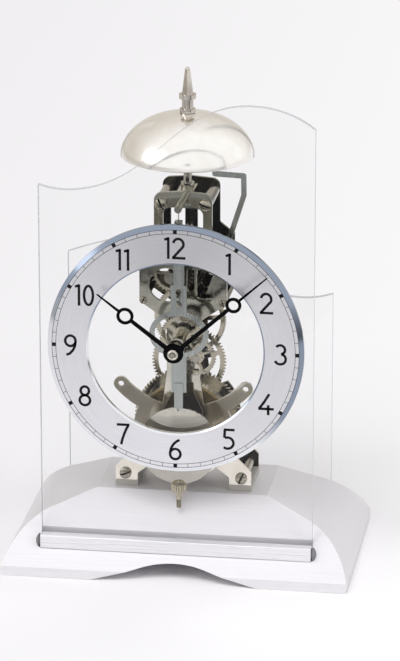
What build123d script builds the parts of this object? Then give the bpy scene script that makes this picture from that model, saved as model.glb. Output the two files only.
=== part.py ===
from build123d import *
from math import acos, asin, atan2, cos, degrees, hypot, pi, radians, sin, sqrt, tan
import os

# Desk pendulum clock: an open bell-strike movement on a painted base between two glass panes.
# Millimetres, +Z up, front towards -Y, origin under the middle of the base.
os.makedirs("parts", exist_ok=True)

# Clearances, each on the radius or on one side
running_gap = 0.04
seat_gap = 0.02
end_shake = 0.3
pane_gap = 0.2

# Base block
base_width = 208.7
base_depth = 129.8
base_height = 45.3
base_band = 5.9
base_top_width = 103.5
base_top_depth = 53.6
base_shoulder_out = 26.0
base_shoulder_drop = 10.3
arch_span = 100.0
arch_crown_span = 40.0
arch_flank_slope = 0.28

# Glass panes, with the turning points of their wavy top edges as (x, z)
glass_width = 163.6
glass_thickness = 4.0
glass_inner_face = 46.0
front_glass_ends = (240.6, 280.0)
front_glass_wave = [(-62.0, 238.2), (-30.0, 249.0), (0.0, 274.0), (30.0, 291.0), (48.0, 292.6)]
rear_glass_ends = (170.4, 150.6)
rear_glass_wave = [(-60.0, 177.5), (-40.0, 181.0), (10.0, 165.0), (61.5, 147.2)]

# Bars that hold the panes on their ledges
bar_ledge = 14.8
bar_height = 8.8
bar_depth = 6.0
bar_round = 1.2
cap_radius = 4.2
cap_neck, cap_neck_radius = 0.9, 2.7
cap_rim, cap_dome = 0.4, 1.7

# Dial ring
dial_outer = 76.5
dial_inner = 52.5
dial_thickness = 3.5
dial_outer_bevel = 2.7
dial_inner_bevel = 0.9
dial_bevel_drop = 1.3

# Movement plates
plate_thickness = 2.0
plate_front = -22.0
plate_space = 32.0
plate_top = base_height + 186.7
plate_head_half = 17.4
plate_shoulder_half = 26.3
plate_column_half = 9.9
plate_bar = 3.5
head_crown = 1.4
head_round = 5.0
foot_block = 4.0
foot_inner = 27.8
foot_outer = 41.3
foot_outer_rise, foot_inner_rise = 8.2, 4.4
foot_slope = 14.0
foot_notch = (6.3, 4.9)
arm_end = (37.7, base_height + 65.0)
arm_width = 8.8
arm_hole = 1.7
plate_disc = 30.3
column_foot_half = 12.2
column_foot_rise = 18.5
neck_drop, neck_step, neck_rise = 12.0, 2.9, 2.5
shoulder_bottom = base_height + 117.7
shoulder_top = base_height + 151.7
shoulder_slope = 7.0

# Windows cut in the plates
window_round = 1.4
window_margin = 5.0
window_flare = 5.2
flare_top, flare_bottom, flare_end = 24.5, 13.0, 9.0
escape_window, escape_boss, escape_bridge = 10.5, 3.4, 4.4
escape_window_shift = (-2.0, -4.5)
third_window = (8.4, 18.1)
slim_window = (2.6, 6.9)
third_window_span = (base_height + 120.7, base_height + 138.7)
slim_window_foot = base_height + 125.2
head_opening_half = 12.0
head_opening_round = 4.5
head_opening_margin = 10.2
verge_margin = 4.0
back_window = (9.0, 15.0)
back_window_place = (15.0, base_height + 132.7)
back_column_window = 12.0
back_head_window = (3.8, 12.4)
back_head_span = (base_height + 151.5, base_height + 168.0)

# Pillars and screws
pillar_radius = 4.0
mid_pillar_radius = 2.2
foot_pillar = (35.2, base_height + 8.3)
mid_pillar = (24.0, base_height + 118.3)
top_pillar = (13.2, base_height + 178.7)
screw_shank = 1.5
screw_depth = 6.0
screw_head = 3.6
small_screw_shank = 1.1
small_screw_head = 2.2
base_screw_shank = 2.0
base_screw_head = 4.0
base_screw_head_height = 3.0
base_screw_recess = 14.0

# Going train: tooth counts and modules
great_teeth, second_leaves, great_module = 86, 10, 0.75
second_teeth, centre_leaves, second_module = 68, 10, 0.65
centre_teeth, third_leaves, centre_module = 90, 7, 0.48
third_teeth, escape_leaves, third_module = 90, 7, 0.36
escape_teeth = 30
escape_radius = 13.5
escape_thickness = 0.8
escape_depth = 2.4

# Motion work: cannon pinion to minute wheel, minute pinion to hour wheel
cannon_leaves, minute_teeth = 14, 42
minute_leaves, hour_teeth = 12, 48
hour_module = 0.52

# Tooth form shared by the train
wheel_addendum, leaf_addendum = 0.8, 0.7
wheel_dedendum, leaf_dedendum = 1.6, 1.15
wheel_share, leaf_share = 0.40, 0.36
wheel_flank, leaf_flank = 22.0, 10.0

# Arbor places as (x, z)
hand_axis = (0.0, base_height + 98.55)
escape_axis = (-8.0, base_height + 132.7)
verge_axis = (0.0, base_height + 157.7)
hammer_axis = (22.0, base_height + 143.2)
ratchet_radius = 11.0
ratchet_teeth = 24
ratchet_thickness = 2.0
ratchet_depth = 1.5
click_axis = (16.0, base_height + 49.2)
click_boss, click_root = 3.4, 3.0
click_nose_back, click_nose_front = 0.9, 0.4
click_shoulder = 2.0

# Wheel depths, front face of each wheel
wheel_thickness = 1.4
great_wheel_y = -2.0
second_wheel_y = 2.2
centre_wheel_y = 6.0
third_wheel_y = -3.0
escape_wheel_y = -12.0
cam_y = -16.0
pinion_overlap = 1.2
rim_width = 3.4
spoke_width = 2.6
hub_radius = 4.6

# Barrel
barrel_radius = 28.5
barrel_wall = 1.5
barrel_front = -17.0
barrel_cover_thickness = 1.5
barrel_arbor = 3.0
barrel_core = 6.0
winding_square = 4.4
winding_end = 30.0
mainspring_inner = 16.0

# Arbors
arbor_radius = 1.8
pivot_radius = 1.0
fine_arbor = 0.8
fine_pivot = 0.5
stud_radius = 1.2
centre_radius = 1.4
cannon_pipe = 2.2
hour_pipe = 3.2
bush_radius = 4.2
bush_flange = 5.4
bush_flange_thickness = 1.4

# Hands
hour_hand_y = -60.6
minute_hand_y = -62.4
hand_thickness = 0.8
hour_hand_length, hour_ring_at, hour_ring = 57.0, 36.0, 5.1
minute_hand_length, minute_ring_at, minute_ring = 74.5, 48.0, 4.7
hand_ring_width = 1.8
hand_blade, hand_neck, hand_point, hand_tip = 2.8, 2.2, 1.5, 0.7
hour_hub, minute_hub = 6.0, 5.4
hand_nut_radius = 3.4
hand_nut_end = -64.6
hour_hand_angle, minute_hand_angle = 307.2, 48.3

# Pendulum
pendulum_y = -39.0
strip_thickness = 1.0
upper_strip, slot_strip, lower_strip, hanger_strip = 6.2, 9.6, 9.0, 5.2
rod_top = base_height + 168.7
slot_section = (base_height + 118.7, base_height + 133.7)
oval_centre = base_height + 103.4
oval_width, oval_height, oval_band = 35.3, 29.1, 3.1
lower_strip_end = base_height + 67.2
hanger_top = base_height + 73.2
hanger_hook = 2.0
bob_centre = base_height + 33.9
bob_radius = 24.0
bob_half_thickness = 4.5
bob_edge = 1.6
rating_rod = 1.3
rating_rod_end = base_height - 5.5
rating_nut_radius = 4.7
rating_nut_height = 5.6
rating_cone_height = 4.4
suspension_post = 2.2
suspension_height = base_height + 181.2
suspension_spring_width = 4.0
suspension_spring_thickness = 0.2
spring_slit = 0.6
chop_height, chop_half = 5.0, 2.2
crutch_width = 3.0
crutch_y = -26.0
crutch_pin = 0.8
crutch_pin_height = base_height + 125.7
crutch_thickness = 1.2
slot_width = 2.2
slot_lobe, slot_lobe_apart = 1.9, 7.6

# Anchor
anchor_arm = 3.2
pallet_clear = 2.2

# Strike
bell_y = -3.0
bell_radius = 40.0
bell_rim = base_height + 204.0
bell_height = 26.2
bell_wall = 1.2
bell_crown = 3.6
bell_washer, bell_washer_thickness = 3.4, 2.0
bell_post_radius = 2.5
bell_thread = 1.5
finial_ring, finial_body, finial_flange, finial_tip = 4.7, 3.4, 5.1, 1.5
finial_ring_rise, finial_body_rise, finial_flange_rise = 2.2, 8.4, 11.0
finial_cone_rise, finial_rise, finial_thread = 26.4, 27.4, 7.0
bridge_half_width = 5.0
bridge_height = 6.0
hammer_strip = 3.2
hammer_thickness = 1.2
hammer_bends = [
    (25.2, base_height + 153.3),
    (33.8, base_height + 180.4),
    (33.6, base_height + 192.2),
    (16.4, base_height + 192.9),
    (16.4, base_height + 206.7),
]
hammer_head_radius = 3.5
hammer_head_reach = 32.5
hammer_tail = (9.6, base_height + 107.3)
cam_radius, cam_low = 6.6, 3.6
cam_middle = (cam_radius + cam_low) / 2

# Places that follow from the sizes above
plate_back = plate_front + 2 * plate_thickness + plate_space
inner_front = plate_front + plate_thickness
inner_back = plate_back - plate_thickness
second_axis = (hand_axis[0], hand_axis[1] - (second_teeth + centre_leaves) * second_module / 2)
barrel_axis = (hand_axis[0], second_axis[1] - (great_teeth + second_leaves) * great_module / 2)
hour_distance = (minute_leaves + hour_teeth) * hour_module / 2
minute_module = 2 * hour_distance / (cannon_leaves + minute_teeth)
plate_foot = base_height + foot_block
movement_y = (plate_front + plate_back) / 2
window_half = plate_column_half - plate_bar
arm_radius = hypot(arm_end[0] - hand_axis[0], arm_end[1] - hand_axis[1])
bob_top = bob_centre + bob_radius
bell_apex = bell_rim + bell_height
column_bar_middle = plate_column_half - plate_bar / 2
minute_axis = (column_bar_middle, hand_axis[1] - sqrt(hour_distance**2 - column_bar_middle**2))
glass_outer_face = glass_inner_face + glass_thickness
dial_front = -glass_outer_face - dial_thickness


def meeting_point(first, first_radius, second, second_radius):
    """Point at the two given distances from two arbors, on the right of the line between them."""
    dx, dz = second[0] - first[0], second[1] - first[1]
    span = hypot(dx, dz)
    along = (first_radius**2 - second_radius**2 + span**2) / (2 * span)
    aside = sqrt(first_radius**2 - along**2)
    return (
        first[0] + (along * dx + aside * dz) / span,
        first[1] + (along * dz - aside * dx) / span,
    )


third_axis = meeting_point(
    hand_axis,
    (centre_teeth + third_leaves) * centre_module / 2,
    escape_axis,
    (third_teeth + escape_leaves) * third_module / 2,
)


def facing(y):
    """Plane seen from the front at depth y, so that its extrusions come forward."""
    return Plane.XZ.offset(-y)


def turning_plane(axis):
    """Plane of a lathe profile: its x runs along the arbor and its y is the radius."""
    return Plane(origin=(axis[0], 0, axis[1]), x_dir=(0, 1, 0), z_dir=(1, 0, 0))


def turning_axis(axis):
    return Axis((axis[0], 0, axis[1]), (0, 1, 0))


def stepped(*runs):
    """Half section of a stepped shaft, from (start, end, radius) runs along it."""
    points = [(runs[0][0], 0)]
    for start, end, radius in runs:
        points += [(start, radius), (end, radius)]
    return points + [(runs[-1][1], 0)]


def dome(edge, height, radius, sense=1):
    """Three points of a round cap, from its rim to its crown on the turning axis."""
    ball = (height**2 + radius**2) / (2 * height)
    turn = asin(radius / ball) / 2
    crown = edge + sense * height
    return (edge, radius), (crown - sense * ball * (1 - cos(turn)), ball * sin(turn)), (crown, 0)


def bearing(first, second):
    """Direction from one arbor to another, in radians from +X towards +Z."""
    return atan2(second[1] - first[1], second[0] - first[0])


def toothed(axis, teeth, module, addendum, dedendum, share, flank, phase):
    """Corners of a toothed outline, four to each tooth, with one tooth pointing along phase."""
    pitch = teeth * module / 2
    tip, root = pitch + addendum * module, pitch - dedendum * module
    half = share * pi * module / 2
    tip_half = half - addendum * module * tan(radians(flank))
    root_half = half + dedendum * module * tan(radians(flank))
    corners = []
    for tooth in range(teeth):
        middle = phase + 2 * pi * tooth / teeth
        for radius, offset in ((root, -root_half), (tip, -tip_half), (tip, tip_half), (root, root_half)):
            angle = middle + offset / radius
            corners.append((axis[0] + radius * cos(angle), axis[1] + radius * sin(angle)))
    return corners


def wheel_outline(axis, teeth, module, mate):
    phase = bearing(axis, mate)
    return toothed(axis, teeth, module, wheel_addendum, wheel_dedendum, wheel_share, wheel_flank, phase)


def leaf_outline(axis, leaves, module, mate):
    """Pinion outline with a gap between leaves facing the wheel that drives it."""
    phase = bearing(axis, mate) + pi / leaves
    return toothed(axis, leaves, module, leaf_addendum, leaf_dedendum, leaf_share, leaf_flank, phase)


def saw_outline(axis, teeth, tip, depth, lean):
    """Pointed teeth for the escape wheel and the ratchet, leaning by a share of a tooth."""
    corners = []
    for tooth in range(teeth):
        for radius, share in ((tip, 0.0), (tip - depth, lean), (tip - depth, lean + 0.35)):
            angle = 2 * pi * (tooth + share) / teeth
            corners.append((axis[0] + radius * cos(angle), axis[1] + radius * sin(angle)))
    return corners


def cut_spokes(axis, inner, outer, count, width, turn=0.0):
    """Windows between the spokes of a wheel, cut from the sketch being drawn."""
    for spoke in range(count):
        start = turn + 2 * pi * spoke / count
        end = start + 2 * pi / count
        outer_turn, inner_turn = asin(width / 2 / outer), asin(width / 2 / inner)

        def at(radius, angle):
            return (axis[0] + radius * cos(angle), axis[1] + radius * sin(angle))

        middle = (start + end) / 2
        with BuildLine() as window:
            ThreePointArc(at(outer, start + outer_turn), at(outer, middle), at(outer, end - outer_turn))
            Line(at(outer, end - outer_turn), at(inner, end - inner_turn))
            ThreePointArc(at(inner, end - inner_turn), at(inner, middle), at(inner, start + inner_turn))
            Line(at(inner, start + inner_turn), at(outer, start + outer_turn))
        make_face(window.edges(), mode=Mode.SUBTRACT)


def bar_between(start, end, width):
    """Straight bar from one point to another in the sketch being drawn."""
    middle = ((start[0] + end[0]) / 2, (start[1] + end[1]) / 2)
    length = hypot(end[0] - start[0], end[1] - start[1])
    with Locations(middle):
        Rectangle(length, width, rotation=degrees(bearing(start, end)))


def both_sides(point):
    return [(-point[0], point[1]), point]


# Base block, the meeting of a bowed front view and a sloped side view
def base_side(sign):
    """Foot, middle and shoulder of the rounded flank, then the edge of the top."""
    low = (base_width / 2, base_band)
    shoulder = (base_top_width / 2 + base_shoulder_out, base_height - base_shoulder_drop)
    high = (base_top_width / 2, base_height)
    run, rise = low[0] - shoulder[0], shoulder[1] - low[1]
    bend = atan2(rise, run) - atan2(base_shoulder_drop, base_shoulder_out)
    bulge = tan(bend / 2) / 2
    middle = ((low[0] + shoulder[0]) / 2 + bulge * rise, (low[1] + shoulder[1]) / 2 + bulge * run)
    return [(sign * x, z) for x, z in (low, middle, shoulder, high)]


arch_flank_rise = arch_flank_slope * (arch_span - arch_crown_span) / 2
arch_crown_rise = arch_crown_span / 2 * tan(atan2(arch_flank_slope, 1) / 2)
ledge_depth = bar_depth + glass_thickness
cap_edge = cap_neck + cap_rim
bar_ends = [(side, end) for side in (-1, 1) for end in (-1, 1)]


def cap_seat(side, end):
    """Plane on a bar's end whose x runs out along the bar."""
    middle = (end * glass_width / 2, side * (glass_outer_face + bar_depth / 2), bar_ledge + bar_height / 2)
    return Plane(origin=middle, x_dir=(end, 0, 0), z_dir=(0, -1, 0))


def cap_outline(gap, *neck):
    """Half section of a domed cap, or of the seat that clears it by a gap."""
    rim = cap_radius + gap
    with BuildLine() as outline:
        Polyline((cap_edge + cap_dome + gap, 0), (0, 0), *neck, (cap_edge, rim))
        ThreePointArc(*dome(cap_edge, cap_dome + gap, rim))
    return outline.edges()


with BuildPart() as base_block:
    with BuildSketch(Plane.XZ) as base_front_view:
        with BuildLine():
            right, left = base_side(1), base_side(-1)
            ThreePointArc(*right[:3])
            Polyline(right[2], right[3], left[3], left[2])
            ThreePointArc(*reversed(left[:3]))
            Polyline(
                (-base_width / 2, base_band),
                (-base_width / 2, 0),
                (-arch_span / 2, 0),
                (-arch_crown_span / 2, arch_flank_rise),
            )
            ThreePointArc(
                (-arch_crown_span / 2, arch_flank_rise),
                (0, arch_flank_rise + arch_crown_rise),
                (arch_crown_span / 2, arch_flank_rise),
            )
            Polyline(
                (arch_crown_span / 2, arch_flank_rise),
                (arch_span / 2, 0),
                (base_width / 2, 0),
                (base_width / 2, base_band),
            )
        make_face()
    extrude(amount=base_depth / 2, both=True)
    with BuildSketch(Plane.YZ) as base_side_view:
        Polygon(
            (-base_depth / 2, 0),
            (base_depth / 2, 0),
            (base_depth / 2, base_band),
            (base_top_depth / 2, base_height),
            (-base_top_depth / 2, base_height),
            (-base_depth / 2, base_band),
            align=None,
        )
    extrude(amount=base_width, both=True, mode=Mode.INTERSECT)
    ledge_middle = glass_inner_face - pane_gap + (ledge_depth + pane_gap) / 2
    with Locations(*[(0, side * ledge_middle, bar_ledge) for side in (-1, 1)]):
        Box(
            glass_width + 2 * pane_gap,
            ledge_depth + pane_gap,
            base_height,
            align=(Align.CENTER, Align.CENTER, Align.MIN),
            mode=Mode.SUBTRACT,
        )
    for side, end in bar_ends:
        seat = cap_seat(side, end)
        with BuildSketch(seat):
            make_face(cap_outline(seat_gap, (0, cap_radius + seat_gap)))
        revolve(axis=Axis(seat.origin, seat.x_dir), mode=Mode.SUBTRACT)
    with Locations(*[(x, movement_y, 0) for x in (-foot_pillar[0], foot_pillar[0])]):
        Cylinder(
            base_screw_shank + running_gap,
            base_height,
            align=(Align.CENTER, Align.CENTER, Align.MIN),
            mode=Mode.SUBTRACT,
        )
        Cylinder(
            base_screw_head + running_gap,
            base_screw_recess,
            align=(Align.CENTER, Align.CENTER, Align.MIN),
            mode=Mode.SUBTRACT,
        )
base_block.part.label = "base_block"
export_step(base_block.part, "parts/base_block.step")


# Glass panes with wavy top edges
def pane_edge(ends, wave):
    """Outline of a pane from its two end heights and the turning points between them."""
    left, right = -glass_width / 2, glass_width / 2
    with BuildLine() as outline:
        Spline((left, ends[0]), *wave, (right, ends[1]))
        Polyline((right, ends[1]), (right, bar_ledge), (left, bar_ledge), (left, ends[0]))
    return outline.edges()


with BuildPart() as front_glass:
    with BuildSketch(facing(-glass_inner_face)):
        make_face(pane_edge(front_glass_ends, front_glass_wave))
        with Locations(hand_axis):
            Circle(bush_radius + pane_gap, mode=Mode.SUBTRACT)
    extrude(amount=glass_thickness)
front_glass.part.label = "front_glass"
export_step(front_glass.part, "parts/front_glass.step")

with BuildPart() as rear_glass:
    with BuildSketch(facing(glass_outer_face)):
        make_face(pane_edge(rear_glass_ends, rear_glass_wave))
    extrude(amount=glass_thickness)
rear_glass.part.label = "rear_glass"
export_step(rear_glass.part, "parts/rear_glass.step")


# Bars along the foot of each pane, rounded on the outer edges
def bar_profile(side):
    """Section of a bar on a plane whose x is depth and whose y is height."""
    inner, outer = side * glass_outer_face, side * (glass_outer_face + bar_depth)
    with Locations(((inner + outer) / 2, bar_ledge + bar_height / 2)):
        section = Rectangle(bar_depth, bar_height)
    corners = section.vertices().sort_by(Axis.X)
    fillet(corners[:2] if side < 0 else corners[2:], bar_round)


with BuildPart() as front_bar:
    with BuildSketch(Plane.YZ):
        bar_profile(-1)
    extrude(amount=glass_width / 2, both=True)
front_bar.part.label = "front_bar"
export_step(front_bar.part, "parts/front_bar.step")

with BuildPart() as rear_bar:
    with BuildSketch(Plane.YZ):
        bar_profile(1)
    extrude(amount=glass_width / 2, both=True)
rear_bar.part.label = "rear_bar"
export_step(rear_bar.part, "parts/rear_bar.step")

with BuildPart() as bar_end_caps:
    for side, end in bar_ends:
        seat = cap_seat(side, end)
        with BuildSketch(seat):
            neck = [(0, cap_neck_radius), (cap_neck, cap_neck_radius), (cap_neck, cap_radius)]
            make_face(cap_outline(0, *neck))
        revolve(axis=Axis(seat.origin, seat.x_dir))
bar_end_caps.part.label = "bar_end_caps"
export_step(bar_end_caps.part, "parts/bar_end_caps.step")

# Dial ring with a broad outer bevel and a narrow inner one
with BuildPart() as dial_ring:
    with BuildSketch(turning_plane(hand_axis)):
        Polygon(
            (-glass_outer_face, dial_inner),
            (-glass_outer_face, dial_outer),
            (dial_front + dial_bevel_drop, dial_outer),
            (dial_front, dial_outer - dial_outer_bevel),
            (dial_front, dial_inner + dial_inner_bevel),
            (dial_front + dial_bevel_drop / 2, dial_inner),
            align=None,
        )
    revolve(axis=turning_axis(hand_axis))
dial_ring.part.label = "dial_ring"
export_step(dial_ring.part, "parts/dial_ring.step")

# Bush that carries the hand pipes through the front pane
bush_bore = hour_pipe + 2 * running_gap
with BuildPart() as glass_bush:
    with BuildSketch(turning_plane(hand_axis)):
        Polygon(
            (-glass_outer_face - bush_flange_thickness, bush_bore),
            (-glass_inner_face + bush_flange_thickness, bush_bore),
            (-glass_inner_face + bush_flange_thickness, bush_radius),
            (-glass_outer_face, bush_radius),
            (-glass_outer_face, bush_flange),
            (-glass_outer_face - bush_flange_thickness, bush_flange),
            align=None,
        )
    revolve(axis=turning_axis(hand_axis))
glass_bush.part.label = "glass_bush"
export_step(glass_bush.part, "parts/glass_bush.step")


# Movement plates
def plate_body(outline):
    """Outline shared by both plates: feet, disc cut off round the dial centre, column, shoulders and head."""
    with Locations(barrel_axis):
        Circle(plate_disc)
    with Locations(hand_axis):
        Circle(arm_radius - arm_width / 2, mode=Mode.SUBTRACT)
    half_foot = [
        (foot_inner, plate_foot),
        (foot_outer, plate_foot),
        (foot_outer, plate_foot + foot_outer_rise),
        (foot_outer - foot_slope, plate_foot + foot_outer_rise + foot_slope),
        barrel_axis,
        (foot_inner - foot_notch[0], plate_foot + foot_inner_rise + foot_notch[1]),
        (foot_inner, plate_foot + foot_inner_rise),
    ]
    half_column = [
        barrel_axis,
        (column_foot_half, barrel_axis[1]),
        (column_foot_half, barrel_axis[1] + column_foot_rise),
        (plate_column_half, second_axis[1]),
        (plate_column_half, shoulder_bottom - neck_drop),
        (plate_column_half + neck_step, shoulder_bottom - neck_drop + neck_rise),
        (plate_shoulder_half, shoulder_bottom),
        (plate_shoulder_half, shoulder_top),
        (plate_head_half, shoulder_top + shoulder_slope),
        (plate_head_half, plate_top - head_crown),
        (0, plate_top),
    ]
    for half in (half_foot, half_column):
        for side in (-1, 1):
            Polygon(*[(side * x, z) for x, z in half], align=None)
    head_corners = [v for v in outline.vertices() if v.Y > top_pillar[1] and abs(v.X) > top_pillar[0]]
    fillet(head_corners, head_round)


def screw_holes():
    """Clearance holes of the pillar screws in the sketch being drawn."""
    places = ((foot_pillar, screw_shank), (mid_pillar, small_screw_shank), (top_pillar, screw_shank))
    for place, radius in places:
        with Locations(*both_sides(place)):
            Circle(radius + seat_gap)


def pivot_holes():
    """Pivot holes of the arbors that run in both plates."""
    places = (
        (barrel_axis, barrel_arbor),
        (second_axis, pivot_radius),
        (third_axis, fine_pivot),
        (escape_axis, fine_pivot),
        (verge_axis, pivot_radius),
        (hammer_axis, pivot_radius),
    )
    for place, radius in places:
        with Locations(place):
            Circle(radius + running_gap)


def window_between(sides, span):
    """Round-cornered window between two sides and two heights in the sketch being drawn."""
    with Locations(((sides[0] + sides[1]) / 2, (span[0] + span[1]) / 2)):
        RectangleRounded(sides[1] - sides[0], span[1] - span[0], window_round)


def arm_point(radius, turn):
    """Point on a ring about the dial centre, turned from straight down."""
    return (hand_axis[0] + radius * sin(turn), hand_axis[1] - radius * cos(turn))


arm_turn = asin((arm_end[0] - hand_axis[0]) / arm_radius)
arm_inner, arm_outer = arm_radius - arm_width / 2, arm_radius + arm_width / 2
with BuildPart() as front_plate:
    with BuildSketch(facing(inner_front)) as front_outline:
        plate_body(front_outline)
        # Curved arms with round ends, part of one ring about the dial centre
        with BuildLine() as arm_outline:
            for radius in (arm_inner, arm_outer):
                ThreePointArc(*[arm_point(radius, turn) for turn in (-arm_turn, 0, arm_turn)])
            for turn in (-arm_turn, arm_turn):
                Line(arm_point(arm_inner, turn), arm_point(arm_outer, turn))
        make_face(arm_outline.edges())
        with Locations(*both_sides(arm_end)):
            Circle(arm_width / 2)
        with Locations(*both_sides(arm_end)):
            Circle(arm_hole, mode=Mode.SUBTRACT)
    extrude(amount=plate_thickness)
    # Windows between the column bars, the lower one spread at its foot
    with BuildSketch(facing(inner_front)) as column_windows:
        half_window = [
            (window_half, second_axis[1] - window_margin),
            (window_half, barrel_axis[1] + flare_top),
            (window_half + window_flare, barrel_axis[1] + flare_bottom),
            (window_half + window_flare, barrel_axis[1] + flare_end),
        ]
        Polygon(*half_window, *[(-x, z) for x, z in reversed(half_window)], align=None)
        fillet(column_windows.vertices(), window_round)
        upper_span = (second_axis[1] + window_margin, hand_axis[1] - 1.4 * window_margin)
        window_between((-window_half, window_half), upper_span)
    extrude(amount=plate_thickness, mode=Mode.SUBTRACT)
    # Crescent over the escape wheel, round the boss of its pivot
    with BuildSketch(facing(inner_front)):
        with Locations((escape_axis[0] + escape_window_shift[0], escape_axis[1] + escape_window_shift[1])):
            Circle(escape_window)
        with Locations(escape_axis):
            Circle(escape_boss, mode=Mode.SUBTRACT)
        with Locations((escape_axis[0] + escape_window / 2, escape_axis[1])):
            Rectangle(escape_window, escape_bridge, mode=Mode.SUBTRACT)
    extrude(amount=plate_thickness, mode=Mode.SUBTRACT)
    # Windows beside the third wheel and the opening under the head
    with BuildSketch(facing(inner_front)):
        window_between(third_window, third_window_span)
        window_between(slim_window, (slim_window_foot, third_window_span[1]))
    extrude(amount=plate_thickness, mode=Mode.SUBTRACT)
    with BuildSketch(facing(inner_front)) as head_opening:
        head_span = (verge_axis[1] + verge_margin, plate_top - head_opening_margin)
        with Locations((0, (head_span[0] + head_span[1]) / 2)):
            Rectangle(2 * head_opening_half, head_span[1] - head_span[0])
        fillet(head_opening.vertices().group_by(Axis.Y)[-1], head_opening_round)
    extrude(amount=plate_thickness, mode=Mode.SUBTRACT)
    # Holes for screws, pivots and studs
    with BuildSketch(facing(inner_front)):
        screw_holes()
        pivot_holes()
        with Locations(hand_axis):
            Circle(cannon_pipe + running_gap)
        with Locations(minute_axis):
            Circle(stud_radius + seat_gap)
        with Locations((0, suspension_height)):
            Circle(screw_shank + seat_gap)
    extrude(amount=plate_thickness, mode=Mode.SUBTRACT)
front_plate.part.label = "front_plate"
export_step(front_plate.part, "parts/front_plate.step")

with BuildPart() as back_plate:
    with BuildSketch(facing(plate_back)) as back_outline:
        plate_body(back_outline)
    extrude(amount=plate_thickness)
    with BuildSketch(facing(plate_back)):
        lower_middle = (barrel_axis[1] + second_axis[1]) / 2 + window_margin
        for middle in (lower_middle, (second_axis[1] + hand_axis[1]) / 2):
            with Locations((0, middle)):
                RectangleRounded(2 * window_half, back_column_window, window_round)
        with Locations(*both_sides(back_window_place)):
            RectangleRounded(*back_window, window_round)
        for sides in (back_head_window, (-back_head_window[1], -back_head_window[0])):
            window_between(sides, back_head_span)
    extrude(amount=plate_thickness, mode=Mode.SUBTRACT)
    with BuildSketch(facing(plate_back)):
        screw_holes()
        pivot_holes()
        with Locations(hand_axis):
            Circle(centre_radius + running_gap)
        with Locations((0, suspension_height)):
            Circle(screw_shank + seat_gap)
        with Locations(click_axis):
            Circle(screw_shank + seat_gap)
    extrude(amount=plate_thickness, mode=Mode.SUBTRACT)
back_plate.part.label = "back_plate"
export_step(back_plate.part, "parts/back_plate.step")

# Blocks between the plate feet and the base
with BuildPart() as foot_blocks:
    foot_middle = (foot_inner + foot_outer) / 2
    with Locations(*[(side * foot_middle, movement_y, base_height) for side in (-1, 1)]):
        Box(
            foot_outer - foot_inner,
            plate_back - plate_front,
            foot_block,
            align=(Align.CENTER, Align.CENTER, Align.MIN),
        )
    with Locations(*[(side * foot_pillar[0], movement_y, base_height) for side in (-1, 1)]):
        Cylinder(
            base_screw_shank + running_gap,
            3 * foot_block,
            mode=Mode.SUBTRACT,
        )
foot_blocks.part.label = "foot_blocks"
export_step(foot_blocks.part, "parts/foot_blocks.step")


# Pillars with a tapped hole in each end
def pillar_profile(radius, bore):
    half = plate_space / 2
    Polygon(
        (-half, bore),
        (-half, radius),
        (half, radius),
        (half, bore),
        (half - screw_depth, bore),
        (half - screw_depth, 0),
        (-half + screw_depth, 0),
        (-half + screw_depth, bore),
        align=None,
    )


def pillar_plane(axis):
    """Lathe plane whose x starts half way between the plates."""
    middle = (inner_front + inner_back) / 2
    return Plane(origin=(axis[0], middle, axis[1]), x_dir=(0, 1, 0), z_dir=(1, 0, 0))


with BuildPart() as foot_pillars:
    for place in both_sides(foot_pillar):
        with BuildSketch(pillar_plane(place)):
            pillar_profile(pillar_radius, screw_shank + seat_gap)
        revolve(axis=turning_axis(place))
    with Locations(*[(x, movement_y, foot_pillar[1]) for x in (-foot_pillar[0], foot_pillar[0])]):
        Cylinder(
            base_screw_shank + seat_gap,
            pillar_radius,
            align=(Align.CENTER, Align.CENTER, Align.MAX),
            mode=Mode.SUBTRACT,
        )
foot_pillars.part.label = "foot_pillars"
export_step(foot_pillars.part, "parts/foot_pillars.step")

with BuildPart() as mid_pillars:
    for place in both_sides(mid_pillar):
        with BuildSketch(pillar_plane(place)):
            pillar_profile(mid_pillar_radius, small_screw_shank + seat_gap)
        revolve(axis=turning_axis(place))
mid_pillars.part.label = "mid_pillars"
export_step(mid_pillars.part, "parts/mid_pillars.step")

with BuildPart() as top_pillars:
    for place in both_sides(top_pillar):
        with BuildSketch(pillar_plane(place)):
            pillar_profile(pillar_radius, screw_shank + seat_gap)
        revolve(axis=turning_axis(place))
top_pillars.part.label = "top_pillars"
export_step(top_pillars.part, "parts/top_pillars.step")


# Screws: a domed head outside the plate and a shank into the pillar
def screw_profile(shank, head, front):
    """Half section of a screw driven through the front plate, or the back plate when front is False."""
    seat, sense = (plate_front, -1) if front else (plate_back, 1)
    depth = plate_thickness + screw_depth - end_shake
    with BuildLine() as section:
        Polyline(
            (seat + sense * head * 0.62, 0),
            (seat - sense * depth, 0),
            (seat - sense * depth, shank),
            (seat, shank),
            (seat, head),
            (seat + sense * head * 0.3, head),
        )
        ThreePointArc(*dome(seat + sense * head * 0.3, head * 0.32, head, sense))
    make_face(section.edges())


with BuildPart() as pillar_screws:
    for front in (True, False):
        for place in both_sides(foot_pillar) + both_sides(top_pillar):
            with BuildSketch(turning_plane(place)):
                screw_profile(screw_shank, screw_head, front)
            revolve(axis=turning_axis(place))
pillar_screws.part.label = "pillar_screws"
export_step(pillar_screws.part, "parts/pillar_screws.step")

with BuildPart() as mid_screws:
    for front in (True, False):
        for place in both_sides(mid_pillar):
            with BuildSketch(turning_plane(place)):
                screw_profile(small_screw_shank, small_screw_head, front)
            revolve(axis=turning_axis(place))
mid_screws.part.label = "mid_screws"
export_step(mid_screws.part, "parts/mid_screws.step")

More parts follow.
